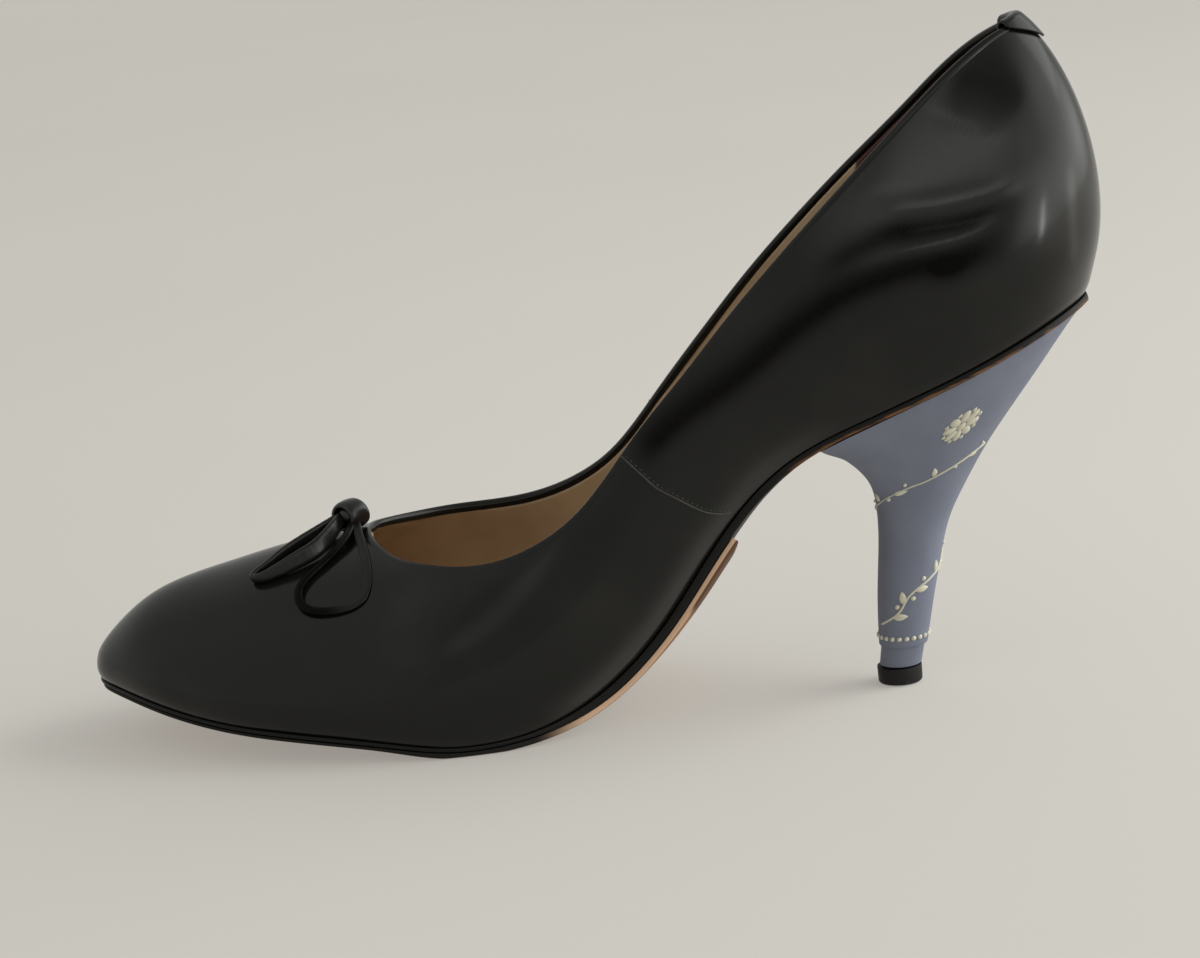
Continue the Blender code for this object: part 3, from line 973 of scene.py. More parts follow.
@dataclass(frozen=True)
class BlackRubber:
    """Black rubber, scuffed grey round its foot."""

    name: str = "black_rubber"
    colour: Colour = (0.0055, 0.005, 0.0052, 1.0)
    scuffed: Colour = (0.030, 0.027, 0.025, 1.0)
    shine: float = 0.25
    foot_height: float = 0.0022
    speck_scale: float = 900.0
    speck_depth: float = 0.04

    def material(self) -> bpy.types.Material:
        """Build the material.

        Returns:
            The material.
        """
        recipe = Recipe.material(self.name)
        speck = recipe.noise(self.speck_scale, 4.0)
        foot = recipe.axis(2).between(self.foot_height, 0.0)
        scuff = speck.between(0.5, 0.75) * (foot * 0.8 + 0.1)
        return recipe.finish(
            Base_Color=recipe.blend(scuff, self.colour, self.scuffed), Specular_IOR_Level=self.shine,
            Roughness=0.42 + speck * 0.25, Normal=recipe.bump(speck, self.speck_depth))


@dataclass(frozen=True)
class PaleSheet:
    """The plain pale floor, a sheet lit a little from below."""

    name: str = "pale_sheet"
    colour: Colour = (0.331, 0.321, 0.299, 1.0)
    shade: Colour = (0.317, 0.306, 0.284, 1.0)
    glow: Colour = (0.287, 0.275, 0.251, 1.0)
    roughness: float = 0.85
    shine: float = 0.2
    cloud_scale: float = 2.2

    def material(self) -> bpy.types.Material:
        """Build the material.

        Returns:
            The material.
        """
        recipe = Recipe.material(self.name)
        cloud = recipe.noise(self.cloud_scale)
        return recipe.finish(
            Base_Color=recipe.blend(cloud.between(0.3, 0.7), self.colour, self.shade),
            Roughness=self.roughness, Specular_IOR_Level=self.shine,
            Emission_Color=self.glow, Emission_Strength=1.0)


@dataclass
class Workshop:
    """Turns meshes in shoe millimetres into pieces in the row's frame."""

    shift: Vector
    materials: dict[Slot, bpy.types.Material]
    made: list[str] = field(default_factory=list)
    sharp: float = 40.0

    @classmethod
    def open(cls, top_piece_centre: float) -> "Workshop":
        """Find the shoe's place from its top piece and make the finishes.

        Args:
            top_piece_centre: the top piece's place along the shoe.

        Returns:
            The workshop.
        """
        low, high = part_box("top_piece")
        middle = 0.5 * (low + high)
        finishes = {Slot.CALF: BlackCalf(), Slot.EDGE: SoleEdge(), Slot.SOLE: SoleLeather(),
                    Slot.LINING: LiningLeather(), Slot.STONEWARE: Stoneware(),
                    Slot.RELIEF: ReliefStoneware(), Slot.RUBBER: BlackRubber()}
        return cls(Vector((middle.x - top_piece_centre * MM, middle.y, 0.0)),
                   {slot: finish.material() for slot, finish in finishes.items()})

    def place(self) -> Matrix:
        """The way from shoe millimetres to the row's metres."""
        return Matrix.Translation(self.shift) @ Matrix.Scale(MM, 4)

    def piece(self, name: str, mesh: bmesh.types.BMesh, slot: Slot, replaces: str = "",
              material: bpy.types.Material | None = None) -> bpy.types.Object:
        """Turn a mesh into a piece that rides on the shoe.

        Args:
            name: the piece's name.
            mesh: its mesh in shoe millimetres, which is freed.
            slot: the record's slot that it takes its finish from.
            replaces: the CAD node that it stands for, if any.
            material: its own finish, where that differs from the slot's.

        Returns:
            The piece.
        """
        mesh.transform(self.place())
        data = bpy.data.meshes.new(name)
        mesh.to_mesh(data)
        mesh.free()
        data.shade_smooth()
        data.set_sharp_from_angle(angle=math.radians(self.sharp))
        data.materials.append(material or self.materials[slot])
        piece = bpy.data.objects.new(name, data)
        bpy.context.scene.collection.objects.link(piece)
        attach(piece, BODY)
        if replaces:
            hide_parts(replaces)
        self.made.append(name)
        LOG.info("%s: %d faces", name, len(data.polygons))
        return piece


@dataclass(frozen=True)
class Crease:
    """A soft trough, ridge, painted shade or painted highlight in one side of the upper, along a route seen
    from there.

    The route runs towards the heel. The crease falls off over its own width above and below, and
    its line lies as far above the route as its shift. It raises the surface by its height. Above
    zero its painted shading amount darkens the calf and takes away its polish as painted shade;
    below zero it adds polish as a painted highlight.
    """

    side: Side
    above: float
    below: float
    height: float
    painted_shading_amount: float
    route: Route
    fade: float = 0.3
    shift: float = 0.0

    def strength(self, spots: np.ndarray) -> np.ndarray:
        """How strong the crease is at each point of its side.

        Args:
            spots: the points' x and z, one row each.

        Returns:
            A number from 0 to 1 for each point.
        """
        count = CREASE_CUTS * (len(self.route) - 1)
        line = np.array(route_points(self.route, count))
        best = np.full(len(spots), np.inf)
        way, over = np.zeros(len(spots)), np.zeros(len(spots))
        for number in range(count):
            step = line[number + 1] - line[number]
            off = spots - line[number]
            part = np.clip((off @ step) / (step @ step), 0.0, 1.0)
            gap = np.linalg.norm(off - part[:, None] * step, axis=1)
            nearer = gap < best
            best = np.where(nearer, gap, best)
            way = np.where(nearer, (number + part) / count, way)
            over = np.where(nearer, np.sign(step[0] * off[:, 1] - step[1] * off[:, 0]), over)
        gap = best * over - self.shift
        width = np.where(gap > 0.0, self.above, self.below)
        ends = np.clip(np.minimum(way, 1.0 - way) / self.fade, 0.0, 1.0)
        return np.exp(-(gap / width) ** 2) * ends * ends * (3.0 - 2.0 * ends)


LONG_FOLD = (
    (122.0, 56.0), (128.0, 61.0), (134.7, 66.1), (145.5, 72.6), (154.9, 79.5), (162.8, 84.8),
    (170.2, 88.7), (177.7, 91.2), (182.1, 92.3), (188.5, 92.6), (194.1, 94.0), (203.0, 98.5))
SHORT_FOLD = (
    (161.5, 90.6), (166.5, 94.0), (171.5, 96.6), (178.3, 98.9), (185.6, 99.6), (192.7, 100.6),
    (198.5, 102.6), (204.0, 105.4))
RIDGE = (
    (170.0, 100.5), (176.0, 102.2), (181.0, 103.4), (186.4, 103.7), (192.3, 104.1), (197.0, 104.6),
    (201.5, 106.0), (207.0, 109.0))
LOW_RIDGE = ((168.0, 91.9), (175.6, 94.4), (182.7, 95.7), (190.1, 97.0), (196.0, 98.2), (202.0, 100.6))
# Painted highlight: a light line along the foot of the inner quarter.
FOOT_EDGE = (
    (98.5, 5.2), (107.9, 8.9), (117.0, 15.4), (126.0, 24.8), (135.0, 36.6), (145.2, 48.5),
    (156.3, 56.9), (168.5, 62.6))
# Painted highlight across the inner quarter.
QUARTER_HIGHLIGHT = ((158.0, 94.5), (171.0, 103.5), (184.0, 109.5), (196.0, 113.5), (208.0, 117.5))
# Painted highlight streak down the back.
BACK_STREAK = ((214.4, 110.0), (214.2, 104.0), (214.0, 98.0), (213.8, 92.0), (213.8, 87.0))
# Painted shade in the hollow under the back tab.
UNDER_TAB = ((189.0, 128.6), (195.0, 127.4), (200.5, 124.8), (206.0, 120.0))
# Painted shade on the counter below the back tab.
COUNTER_SHADE = ((204.5, 126.0), (207.0, 120.0), (208.0, 114.0), (208.0, 107.0))
# Painted shade on the inner vamp towards the ball.
BALL_SHADE = ((76.0, 20.5), (81.6, 24.0), (89.1, 28.2), (97.2, 31.6), (103.0, 34.0))
OUTER_FOLD = (
    (124.0, 57.5), (133.0, 65.0), (145.0, 72.0), (160.0, 82.5), (174.0, 89.0), (188.0, 91.5),
    (200.0, 96.0))
# Each crease's height shapes the calf; its fifth number paints shade above zero and a highlight below zero.
CREASES = (
    Crease(Side.INNER, 7.0, 4.6, 0.80, 0.0, LONG_FOLD, 0.22, 2.0),
    Crease(Side.INNER, 4.0, 2.6, 0.0, 0.94, LONG_FOLD, 0.10, -0.3),
    Crease(Side.INNER, 10.0, 5.0, 0.0, -1.15, QUARTER_HIGHLIGHT, 0.25),
    Crease(Side.INNER, 2.4, 1.8, 0.0, -1.3, FOOT_EDGE, 0.2),
    Crease(Side.INNER, 1.9, 1.9, -0.42, 0.0, SHORT_FOLD),
    Crease(Side.INNER, 1.9, 1.9, 0.0, 0.80, SHORT_FOLD, 0.25),
    Crease(Side.INNER, 2.6, 2.0, 0.0, 0.45, ((170.0, 99.0), (175.5, 100.8), (181.0, 100.6), (186.0, 99.8)),
           0.45),
    Crease(Side.INNER, 3.0, 1.8, 0.48, -1.1, RIDGE, 0.22),
    Crease(Side.INNER, 0.9, 0.9, 0.0, -0.95, BACK_STREAK, 0.3),
    Crease(Side.INNER, 2.6, 2.6, 0.0, 0.34, COUNTER_SHADE, 0.3),
    Crease(Side.INNER, 2.4, 2.4, 0.0, -0.38, ((208.5, 101.0), (209.5, 96.0), (209.5, 90.0)), 0.35),
    Crease(Side.INNER, 4.5, 4.5, 0.0, 0.26, BALL_SHADE, 0.35),
    Crease(Side.INNER, 1.3, 1.1, 0.28, -0.85, LOW_RIDGE, 0.35),
    Crease(Side.INNER, 2.6, 2.6, 0.0, 0.40, ((184.0, 91.4), (189.0, 91.4), (194.0, 93.0)), 0.45),
    Crease(Side.INNER, 4.4, 4.8, -0.30, 0.62, UNDER_TAB, 0.3),
    Crease(Side.INNER, 1.0, 0.9, 0.06, -0.55,
           ((185.0, 123.6), (189.0, 121.8), (193.4, 119.6), (199.0, 117.4))),
    Crease(Side.INNER, 1.0, 0.9, 0.05, -0.35,
           ((189.0, 118.2), (194.0, 116.4), (199.0, 115.4), (204.0, 115.8))),
    Crease(Side.INNER, 1.0, 1.0, 0.0, 0.30, ((187.0, 120.8), (192.0, 118.4), (198.0, 116.0)), 0.4),
    Crease(Side.INNER, 4.0, 4.0, -0.12, 0.0, ((69.8, 20.0), (69.8, 26.0), (69.0, 32.0))),
    Crease(Side.INNER, 3.4, 3.4, 0.10, 0.0, ((79.5, 21.0), (78.7, 27.0), (77.8, 33.0))),
    Crease(Side.OUTER, 7.0, 4.6, 0.8, 0.0, OUTER_FOLD, 0.25, 2.0),
    Crease(Side.OUTER, 4.0, 1.9, 0.0, 0.75, OUTER_FOLD, 0.2, 0.3),
    Crease(Side.OUTER, 2.8, 2.0, 0.35, -0.3,
           ((174.0, 101.5), (184.0, 103.0), (192.0, 104.0), (201.0, 107.0))),
    Crease(Side.OUTER, 1.9, 1.9, -0.35, 0.6,
           ((175.0, 97.5), (186.0, 98.5), (194.0, 99.9), (201.0, 102.3))),
    Crease(Side.OUTER, 4.0, 4.0, -0.14, 0.0, ((70.5, 20.0), (69.5, 26.0), (68.5, 32.0))),
    Crease(Side.OUTER, 3.4, 3.4, 0.12, 0.0, ((79.0, 21.0), (78.0, 28.0), (77.0, 33.5))),
)


@dataclass
class Upper:
    """The calf upper with its lining, the bound top line and the two side seams."""

    last: Last
    workshop: Workshop
    cuts_per_row: int = 12
    cuts_up: int = 68
    foot_crowding: float = 1.25
    flare: float = 0.95
    flare_lost: float = 0.65
    flare_up: float = 4.5
    foot_drop: float = 0.22
    drop_up: float = 1.5
    calf: float = 0.95
    lining_depth: float = 1.0
    lining: float = 0.7
    wall: float = 1.7
    lining_drop: float = 1.5
    bead_half: tuple[float, float] = (0.93, 0.95)
    bead_drop: float = 0.72
    bead_square: float = 0.7
    bead_cuts: int = 320
    seam_route: Route = (
        (120.6, 58.9), (121.4, 58.1), (125.9, 53.5), (127.9, 51.5), (131.9, 48.8), (135.7, 46.0),
        (138.3, 44.6), (141.4, 43.7))
    seam_width: float = 0.46
    seam_height: float = 0.26
    stitch_gap: float = 1.1
    stitch_size: tuple[float, float, float] = (0.34, 0.13, 0.11)
    stitch_offset: float = -0.62
    stitch_lift: float = 0.02
    seam_cuts: int = 48
    stitch_cuts: int = 240

    def shaped(self) -> bmesh.types.BMesh:
        """The outside of the upper with its creases, spread at its foot to meet the sole's edge.

        Returns:
            The mesh, whose points carry their row, their height up the wall, their half and their painted
            shade and highlight amount.
        """
        mesh = bmesh.new()
        row_mark, up_mark, painted_shading_layer = (mesh.verts.layers.float.new(name) for name in ("row", "up", "painted_shading"))
        half = mesh.verts.layers.int.new("half")
        rows = self.cuts_per_row * self.last.heel
        for side in Side:
            spots: list[tuple[float, float]] = []

            def place(along: float, up: float, side: Side = side) -> Vector:
                """A point of this half."""
                spots.append((along * self.last.heel, up ** self.foot_crowding))
                return self.last.wall(spots[-1][0], side, spots[-1][1])

            for vert, (row, up) in zip(mapped_grid(mesh, rows, self.cuts_up, place), spots):
                vert[row_mark], vert[up_mark] = row, up
                vert[half] = side
        weld(mesh)
        bmesh.ops.recalc_face_normals(mesh, faces=mesh.faces)
        if sum(face.normal.y * face.calc_center_median().y for face in mesh.faces) < 0.0:
            bmesh.ops.reverse_faces(mesh, faces=mesh.faces)
        mesh.normal_update()
        verts = list(mesh.verts)
        spots_seen = np.array([(vert.co.x, vert.co.z) for vert in verts])
        halves = np.array([vert[half] for vert in verts])
        raised, painted_shading = np.zeros(len(verts)), np.zeros(len(verts))
        # Sum each crease's painted shade and painted highlight into the points' painted shading mark.
        for crease in CREASES:
            strength = np.where(halves == int(crease.side), crease.strength(spots_seen), 0.0)
            raised += crease.height * strength
            painted_shading += crease.painted_shading_amount * strength
        for vert, height, wear_and_painted_shading in zip(verts, raised, painted_shading):
            vert[painted_shading_layer] = float(wear_and_painted_shading)
            row, side = vert[row_mark], Side(vert[half])
            foot = self.last.feather(row, side)
            above = (vert.co - foot).length
            out = self.last.outward(row, side) if 0.0 < row < self.last.heel else vert.normal
            flare = self.flare - self.flare_lost * self.last.trimmed(foot.x)
            spread = flare * math.exp(-(above / self.flare_up) ** 2)
            drop = self.foot_drop * math.exp(-above / self.drop_up)
            vert.co += vert.normal * float(height) + out * spread - Vector((0.0, 0.0, drop))
        mesh.normal_update()
        return mesh

    def under_binding(self, row: float, up: float, side: Side) -> Vector:
        """How far a point of the lining moves down so that the binding covers its edge.

        Args:
            row: the section's row.
            up: 0 at the feather line to 1 at the top.
            side: the half of the shoe.

        Returns:
            The move.
        """
        sunk = self.lining_drop * ease(up, 0.88, 1.0) * ease(row, self.last.throat, self.last.throat + 0.8)
        if sunk < 0.01:
            return Vector()
        down = self.last.wall(row, side, 0.96) - self.last.wall(row, side, 1.0)
        return down.normalized() * sunk

    def build(self) -> BVHTree:
        """Build every piece of the upper.

        Returns:
            The outside of the calf, for pieces that lie on it.
        """
        shaped = self.shaped()
        self.outside = BVHTree.FromBMesh(shaped)
        inner = shaped.copy()
        rows, ups = (inner.verts.layers.float[name] for name in ("row", "up"))
        half = inner.verts.layers.int["half"]
        for vert in inner.verts:
            vert.co += self.under_binding(vert[rows], vert[ups], Side(vert[half]))
            vert.co -= vert.normal * self.lining_depth
        self.thicken(self.workshop.piece("upper_calf", shaped, Slot.CALF, "upper"), self.calf)
        self.thicken(self.workshop.piece("upper_lining", inner, Slot.LINING), self.lining)
        self.workshop.piece("top_line_binding", self.binding(), Slot.CALF)
        rubbed_and_sheen = SeamEdge().material()
        for side in Side:
            name = side.name.lower()
            self.workshop.piece(f"side_seam_{name}", self.seam(side), Slot.CALF, material=rubbed_and_sheen)
            self.workshop.piece(f"side_seam_stitches_{name}", self.stitches(side), Slot.CALF,
                                material=rubbed_and_sheen)
        return self.outside

    def thicken(self, piece: bpy.types.Object, thickness: float) -> None:
        """Give a sheet its thickness, inwards.

        Args:
            piece: the sheet.
            thickness: its thickness.
        """
        wall = piece.modifiers.new("wall", "SOLIDIFY")
        wall.thickness = thickness * MM
        wall.offset = -1.0

    def binding(self) -> bmesh.types.BMesh:
        """The narrow rounded binding along the whole top line.

        Returns:
            Its mesh.
        """
        span = self.last.heel - self.last.throat

        def edge(way: float) -> tuple[Vector, Vector]:
            """A place on the top line.

            Args:
                way: 0 to 1 from the throat, along the inner side and back along the outer one.

            Returns:
                Its point and the wall's direction out there.
            """
            side = Side.INNER if way < 0.5 else Side.OUTER
            row = self.last.throat + span * (2.0 * way if way < 0.5 else 2.0 - 2.0 * way)
            return self.last.wall(row, side, 1.0), self.last.wall_normal(row, side, 0.985)

        def place(turn: float, way: float) -> Vector:
            """A point on the bead.

            Args:
                turn: the turn round it.
                way: the way along it.

            Returns:
                The point.
            """
            point, out = edge(way)
            ahead = (edge((way + 0.002) % 1.0)[0] - edge((way - 0.002) % 1.0)[0]).normalized()
            rise = out.cross(ahead).normalized()
            out = ahead.cross(rise).normalized()
            centre = point - out * (0.5 * self.wall) - rise * self.bead_drop
            beside, high = rounded(turn, self.bead_square, self.bead_square)
            return centre + out * (self.bead_half[0] * beside) + rise * (self.bead_half[1] * high)

        return tube(20, self.bead_cuts, place, ring=True)

    def on_quarter(self, side: Side, x: float, z: float) -> tuple[Vector, Vector]:
        """The upper's surface seen from one side.

        Args:
            side: the half of the shoe.
            x: the place along the shoe.
            z: the height.

        Returns:
            The point and the direction out of the surface.
        """
        start = Vector((x, 200.0 * side, z))
        point, normal, _, _ = self.outside.ray_cast(start, Vector((0.0, -side, 0.0)))
        if point is None or point.y * side < 0.0:
            point, normal, _, _ = self.outside.find_nearest(Vector((x, 25.0 * side, z)))
        return point, normal

    def seam_line(self, side: Side, count: int) -> list[tuple[Vector, Vector, Vector]]:
        """Lay the route of a side seam on the upper.

        Args:
            side: the half of the shoe.
            count: how many steps there are along it.

        Returns:
            Points, each with the way ahead and the direction out.
        """
        spots = [self.on_quarter(side, x, z) for x, z in route_points(self.seam_route, count)]
        line = []
        for number, (point, out) in enumerate(spots):
            before, after = spots[max(number - 1, 0)][0], spots[min(number + 1, count)][0]
            line.append((point, (after - before).normalized(), out))
        return line

    def seam(self, side: Side) -> bmesh.types.BMesh:
        """The folded edge of a side seam, as a low ridge.

        Args:
            side: the half of the shoe.

        Returns:
            Its mesh.
        """
        line = self.seam_line(side, self.seam_cuts)

        def place(turn: float, way: float) -> Vector:
            """A point on the ridge.

            Args:
                turn: the turn round it.
                way: the way along it.

            Returns:
                The point.
            """
            point, ahead, out = line[round(way * self.seam_cuts)]
            beside = ahead.cross(out).normalized()
            left, high = rounded(turn)
            end = min(1.0, 12.0 * min(way, 1.0 - way) + 0.3)
            return (point + beside * (0.5 * self.seam_width * left)
                    + out * (self.seam_height * end * high))

        return tube(10, self.seam_cuts, place)

    def stitches(self, side: Side) -> bmesh.types.BMesh:
        """The row of stitches beside a side seam.

        Args:
            side: the half of the shoe.

        Returns:
            Its mesh.
        """
        line = self.seam_line(side, self.stitch_cuts)
        mesh = bmesh.new()
        gone = 0.0
        for (before, _, _), (point, ahead, out) in zip(line, line[1:]):
            gone += (point - before).length
            if gone < self.stitch_gap:
                continue
            gone = 0.0
            beside = ahead.cross(out).normalized() * side
            turn = Matrix((ahead, beside, out)).transposed().to_4x4()
            centre = Matrix.Translation(point - beside * self.stitch_offset + out * self.stitch_lift)
            bmesh.ops.create_icosphere(
                mesh, subdivisions=2, radius=1.0,
                matrix=centre @ turn @ Matrix.Diagonal((*self.stitch_size, 1.0)))
        face_outwards(mesh)
        return mesh


@dataclass
class Underfoot:
    """The sole, the half sole under its forepart and the sock inside the shoe."""

    last: Last
    workshop: Workshop
    gap: float = 0.3
    margin: float = 1.2
    trim: float = 0.65
    fore: float = 0.9
    waist: float = 1.7
    seat: float = 1.4
    half_fore: float = 0.7
    half_waist: float = 1.2
    half_tip: float = 1.5
    half_end: tuple[float, float] = (139.5, 125.0)
    half_ball: tuple[float, float] = (64.0, 82.0)
    half_last: tuple[float, float] = (122.0, 136.0)
    half_inset: float = 0.4
    insole: float = 1.6
    insole_inset: float = 0.95
    insole_waist_inset: float = 0.60
    insole_spread: float = 0.8
    sole_rounding: float = 0.35
    half_rounding: float = 0.18
    sock_rounding: float = 0.4
    half_rows: int = 16
    cuts_per_row: int = 8
    cuts_across: int = 12

    def thickness(self, x: float) -> float:
        """The full sole is thickest through the waist."""
        return (self.fore + (self.waist - self.fore) * ease(x, *self.last.waist_start)
                - (self.waist - self.seat) * ease(x, *self.last.seat_start))

    def margin_at(self, x: float) -> float:
        """The sole is trimmed closer at the waist."""
        return self.margin - self.trim * self.last.trimmed(x)

    def half_margin(self, x: float) -> float:
        """The half sole lies a little inside the full one."""
        return self.margin_at(x) - self.half_inset

    def half_top(self, x: float) -> float:
        """How far the half sole's upper face lies under the feather line."""
        return 2.0 * self.gap + self.thickness(x)

    def half_thickness(self, x: float) -> float:
        """The half sole is worn thin under the toes and is thickest at its cut end."""
        return (self.half_fore + (self.half_waist - self.half_fore) * ease(x, *self.half_ball)
                + (self.half_tip - self.half_waist) * ease(x, *self.half_last))

    def sock_margin(self, x: float) -> float:
        """The sock lies inside the feather line, and further in at the waist."""
        return -(self.insole_inset + self.insole_waist_inset * self.last.trimmed(x))

    def face(self, ends: tuple[float, float], margin: Profile, depth: Profile) -> Place:
        """A face of one of the layers under the foot.

        Args:
            ends: the places along the shoe where its inner and its outer edge end.
            margin: gives how far it stands out past the feather line at a place along the shoe.
            depth: gives how far it lies under the feather line there.

        Returns:
            The function that gives its points.
        """
        inner_end, outer_end = (self.last.row_at(x) for x in ends)

        def place(along: float, across: float) -> Vector:
            """A point on the face, kept off the floor.

            Args:
                along: 0 to 1 from the toe.
                across: 0 to 1 from the inner edge to the outer one.

            Returns:
                The point.
            """
            row = along * (inner_end + (outer_end - inner_end) * across)
            x = self.last.x(row)
            point = self.last.bottom(row, across, margin(x), depth(x))
            point.z = max(point.z, 0.0)
            return point
        return place

    def build(self) -> BVHTree:
        """Build the pieces.

        Returns:
            The faces of the full sole, for the heel that stands under it.
        """
        rows = self.cuts_per_row * self.last.heel
        full = (SECTIONS[-1].x, SECTIONS[-1].x)
        sole_faces = (self.face(full, self.margin_at, lambda x: self.gap),
                      self.face(full, self.margin_at, lambda x: self.gap + self.thickness(x)))
        plain = slab(rows, self.cuts_across, *sole_faces)
        underside = BVHTree.FromBMesh(plain)
        plain.free()
        sole = slab(rows, self.cuts_across, *sole_faces, self.sole_rounding)
        self.workshop.piece("sole_full", sole, Slot.EDGE, "sole")
        half_faces = (
            self.face(self.half_end, self.half_margin, self.half_top),
            self.face(self.half_end, self.half_margin, lambda x: self.half_top(x) + self.half_thickness(x)))
        half = slab(self.cuts_per_row * self.half_rows, self.cuts_across, *half_faces, self.half_rounding)
        self.workshop.piece("sole_half", half, Slot.SOLE, "half_sole")
        sock_faces = (
            self.face(full, lambda x: self.sock_margin(x) + self.insole_spread, lambda x: -self.insole),
            self.face(full, self.sock_margin, lambda x: 0.0))
        sock = slab(rows, self.cuts_across, *sock_faces, self.sock_rounding)
        self.workshop.piece("sock", sock, Slot.LINING, "insole")
        return underside


NECK_RINGS = (
    HeelRing(167.8, 3.9, 176.6, 3.9, 4.3, 2.0, 0.0),
    HeelRing(168.5, 8.3, 177.6, 8.3, 4.5, 2.0, 0.0),
)
HEEL_RINGS = tuple(HeelRing(*row) for row in (
    (168.0, 8.3, 178.2, 8.3, 5.1, 2.0, 0.0),
    (168.4, 17.5, 180.2, 17.5, 5.9, 2.1, 0.0),
    (169.2, 26.0, 182.5, 27.0, 7.0, 2.2, 0.0),
    (169.6, 33.0, 184.9, 35.0, 8.4, 2.4, 0.2),
    (169.2, 39.5, 188.9, 42.5, 10.4, 2.8, 0.6),
    (167.8, 44.5, 193.6, 50.0, 13.0, 3.4, 1.2),
    (165.0, 48.5, 199.7, 58.2, 16.2, 4.2, 2.0),
    (161.6, 51.8, 207.4, 68.0, 19.8, 5.2, 3.0),
    (158.0, 55.0, 214.8, 77.0, 23.0, 6.5, 4.0),
))


@dataclass
class Heel:
    """The stoneware heel with its relief, and the wearing piece under it."""

    workshop: Workshop
    underside: BVHTree
    gap: float = 0.3
    cuts_around: int = 96
    cuts_per_row: int = 8
    step_rounding: float = 0.22
    step_reach: float = 12.0
    cap_scales: tuple[float, float] = (0.66, 0.33)
    top_piece_height: float = 3.6
    top_piece_radius: float = 4.7
    top_piece_centre: float = 171.9
    top_piece_taper: float = 0.985
    top_piece_edges: tuple[float, float] = (0.5, 0.15)

    def __post_init__(self) -> None:
        """Fit a curve to each column of the rings."""
        self.curves = {name: column(HEEL_RINGS, name, False, False) for name in HeelRing._fields}
        self.seat = len(HEEL_RINGS) - 1

    def ring(self, row: float) -> HeelRing:
        """The ring at a row above the step."""
        return HeelRing(**{name: curve(row) for name, curve in self.curves.items()})

    def ring_point(self, ring: HeelRing, turn: float, scale: float = 1.0) -> Vector:
        """A point on one ring.

        Args:
            ring: the ring.
            turn: the turn, counted from the back.
            scale: how much smaller than the ring it lies.

        Returns:
            The point.
        """
        ahead = math.cos(math.tau * turn)
        power = 2.0 / ring.square if ahead < 0.0 else 1.0
        along, side = rounded(turn, power, power)
        length = ring.back_x - ring.front_x
        x = 0.5 * length * along
        if ahead < 0.0:
            x += ring.hollow * (1.0 - side * side) * abs(ahead)
        x, y = 0.5 * (ring.front_x + ring.back_x) + x * scale, ring.half * side * scale
        z = ring.front_z + (ring.back_z - ring.front_z) * (x - ring.front_x) / length
        return Vector((x, y, z))

    def under_sole(self, point: Vector) -> float:
        """The height just under the sole at a point."""
        hit, normal, _, _ = self.underside.ray_cast(Vector((point.x, point.y, 0.0)), Vector((0, 0, 1)))
        return point.z if hit is None else hit.z - self.gap / abs(normal.z)

    def surface(self, turn: float, row: float) -> Vector:
        """A point on the heel above its step.

        Args:
            turn: the turn, counted from the back.
            row: the ring's row.

        Returns:
            The point.
        """
        point = self.ring_point(self.ring(row), turn)
        part = ease(row, self.seat - 1.5, self.seat)
        if part:
            end = self.ring_point(HEEL_RINGS[-1], turn)
            point.z += (self.under_sole(end) - end.z) * part
        return point

    def body(self) -> bmesh.types.BMesh:
        """The heel: a neck, a step, and a loft that flares up to the sole's seat.

        Returns:
            Its mesh.
        """
        steps = self.cuts_per_row * self.seat
        neck = [lambda turn, ring=ring: self.ring_point(ring, turn) for ring in NECK_RINGS]
        loft = [lambda turn, row=step / self.cuts_per_row: self.surface(turn, row)
                for step in range(steps + 1)]

        def cap(scale: float) -> Callable[[float], Vector]:
            """A smaller ring under the sole.

            Args:
                scale: its size as a part of the top ring's.

            Returns:
                The function that gives its points.
            """
            def place(turn: float) -> Vector:
                """A point on the ring.

                Args:
                    turn: the turn, counted from the back.

                Returns:
                    The point.
                """
                point = self.ring_point(HEEL_RINGS[-1], turn, scale)
                point.z = self.under_sole(point)
                return point
            return place

        rings = neck + loft + [cap(scale) for scale in self.cap_scales]
        mesh = tube(self.cuts_around, len(rings) - 1,
                    lambda turn, way: rings[round(way * (len(rings) - 1))](turn))
        mesh.normal_update()
        level = [edge for edge in sharp_edges(mesh)
                 if abs(edge.verts[0].co.z - edge.verts[1].co.z) < 0.2
                 and edge.verts[0].co.z < self.step_reach]
        round_off(mesh, level, self.step_rounding, 2)
        return mesh

    def top_piece(self) -> bmesh.types.BMesh:
        """The round wearing piece.

        Returns:
            Its mesh.
        """
        mesh = bmesh.new()
        bmesh.ops.create_cone(
            mesh, cap_ends=True, segments=64, radius1=self.top_piece_radius * self.top_piece_taper,
            radius2=self.top_piece_radius, depth=self.top_piece_height,
            matrix=Matrix.Translation((self.top_piece_centre, 0.0, 0.5 * self.top_piece_height)))
        for low, amount in zip((True, False), self.top_piece_edges):
            rim = [edge for edge in sharp_edges(mesh)
                   if (edge.verts[0].co.z < 0.5 * self.top_piece_height) == low]
            round_off(mesh, rim, amount, 3)
        return mesh

    def build(self) -> None:
        """Build the pieces."""
        self.workshop.piece("heel_stoneware", self.body(), Slot.STONEWARE, "heel")
        self.workshop.piece("heel_top_piece", self.top_piece(), Slot.RUBBER, "top_piece")
        self.workshop.piece("heel_relief", Relief(self).build(), Slot.RELIEF)


class Lobe(NamedTuple):
    """A bead, leaf, berry or petal: its length and width, its taper, where it starts and its height."""

    size: tuple[float, float]
    taper: float = 0.0
    offset: float = 0.0
    lift: float = 1.0


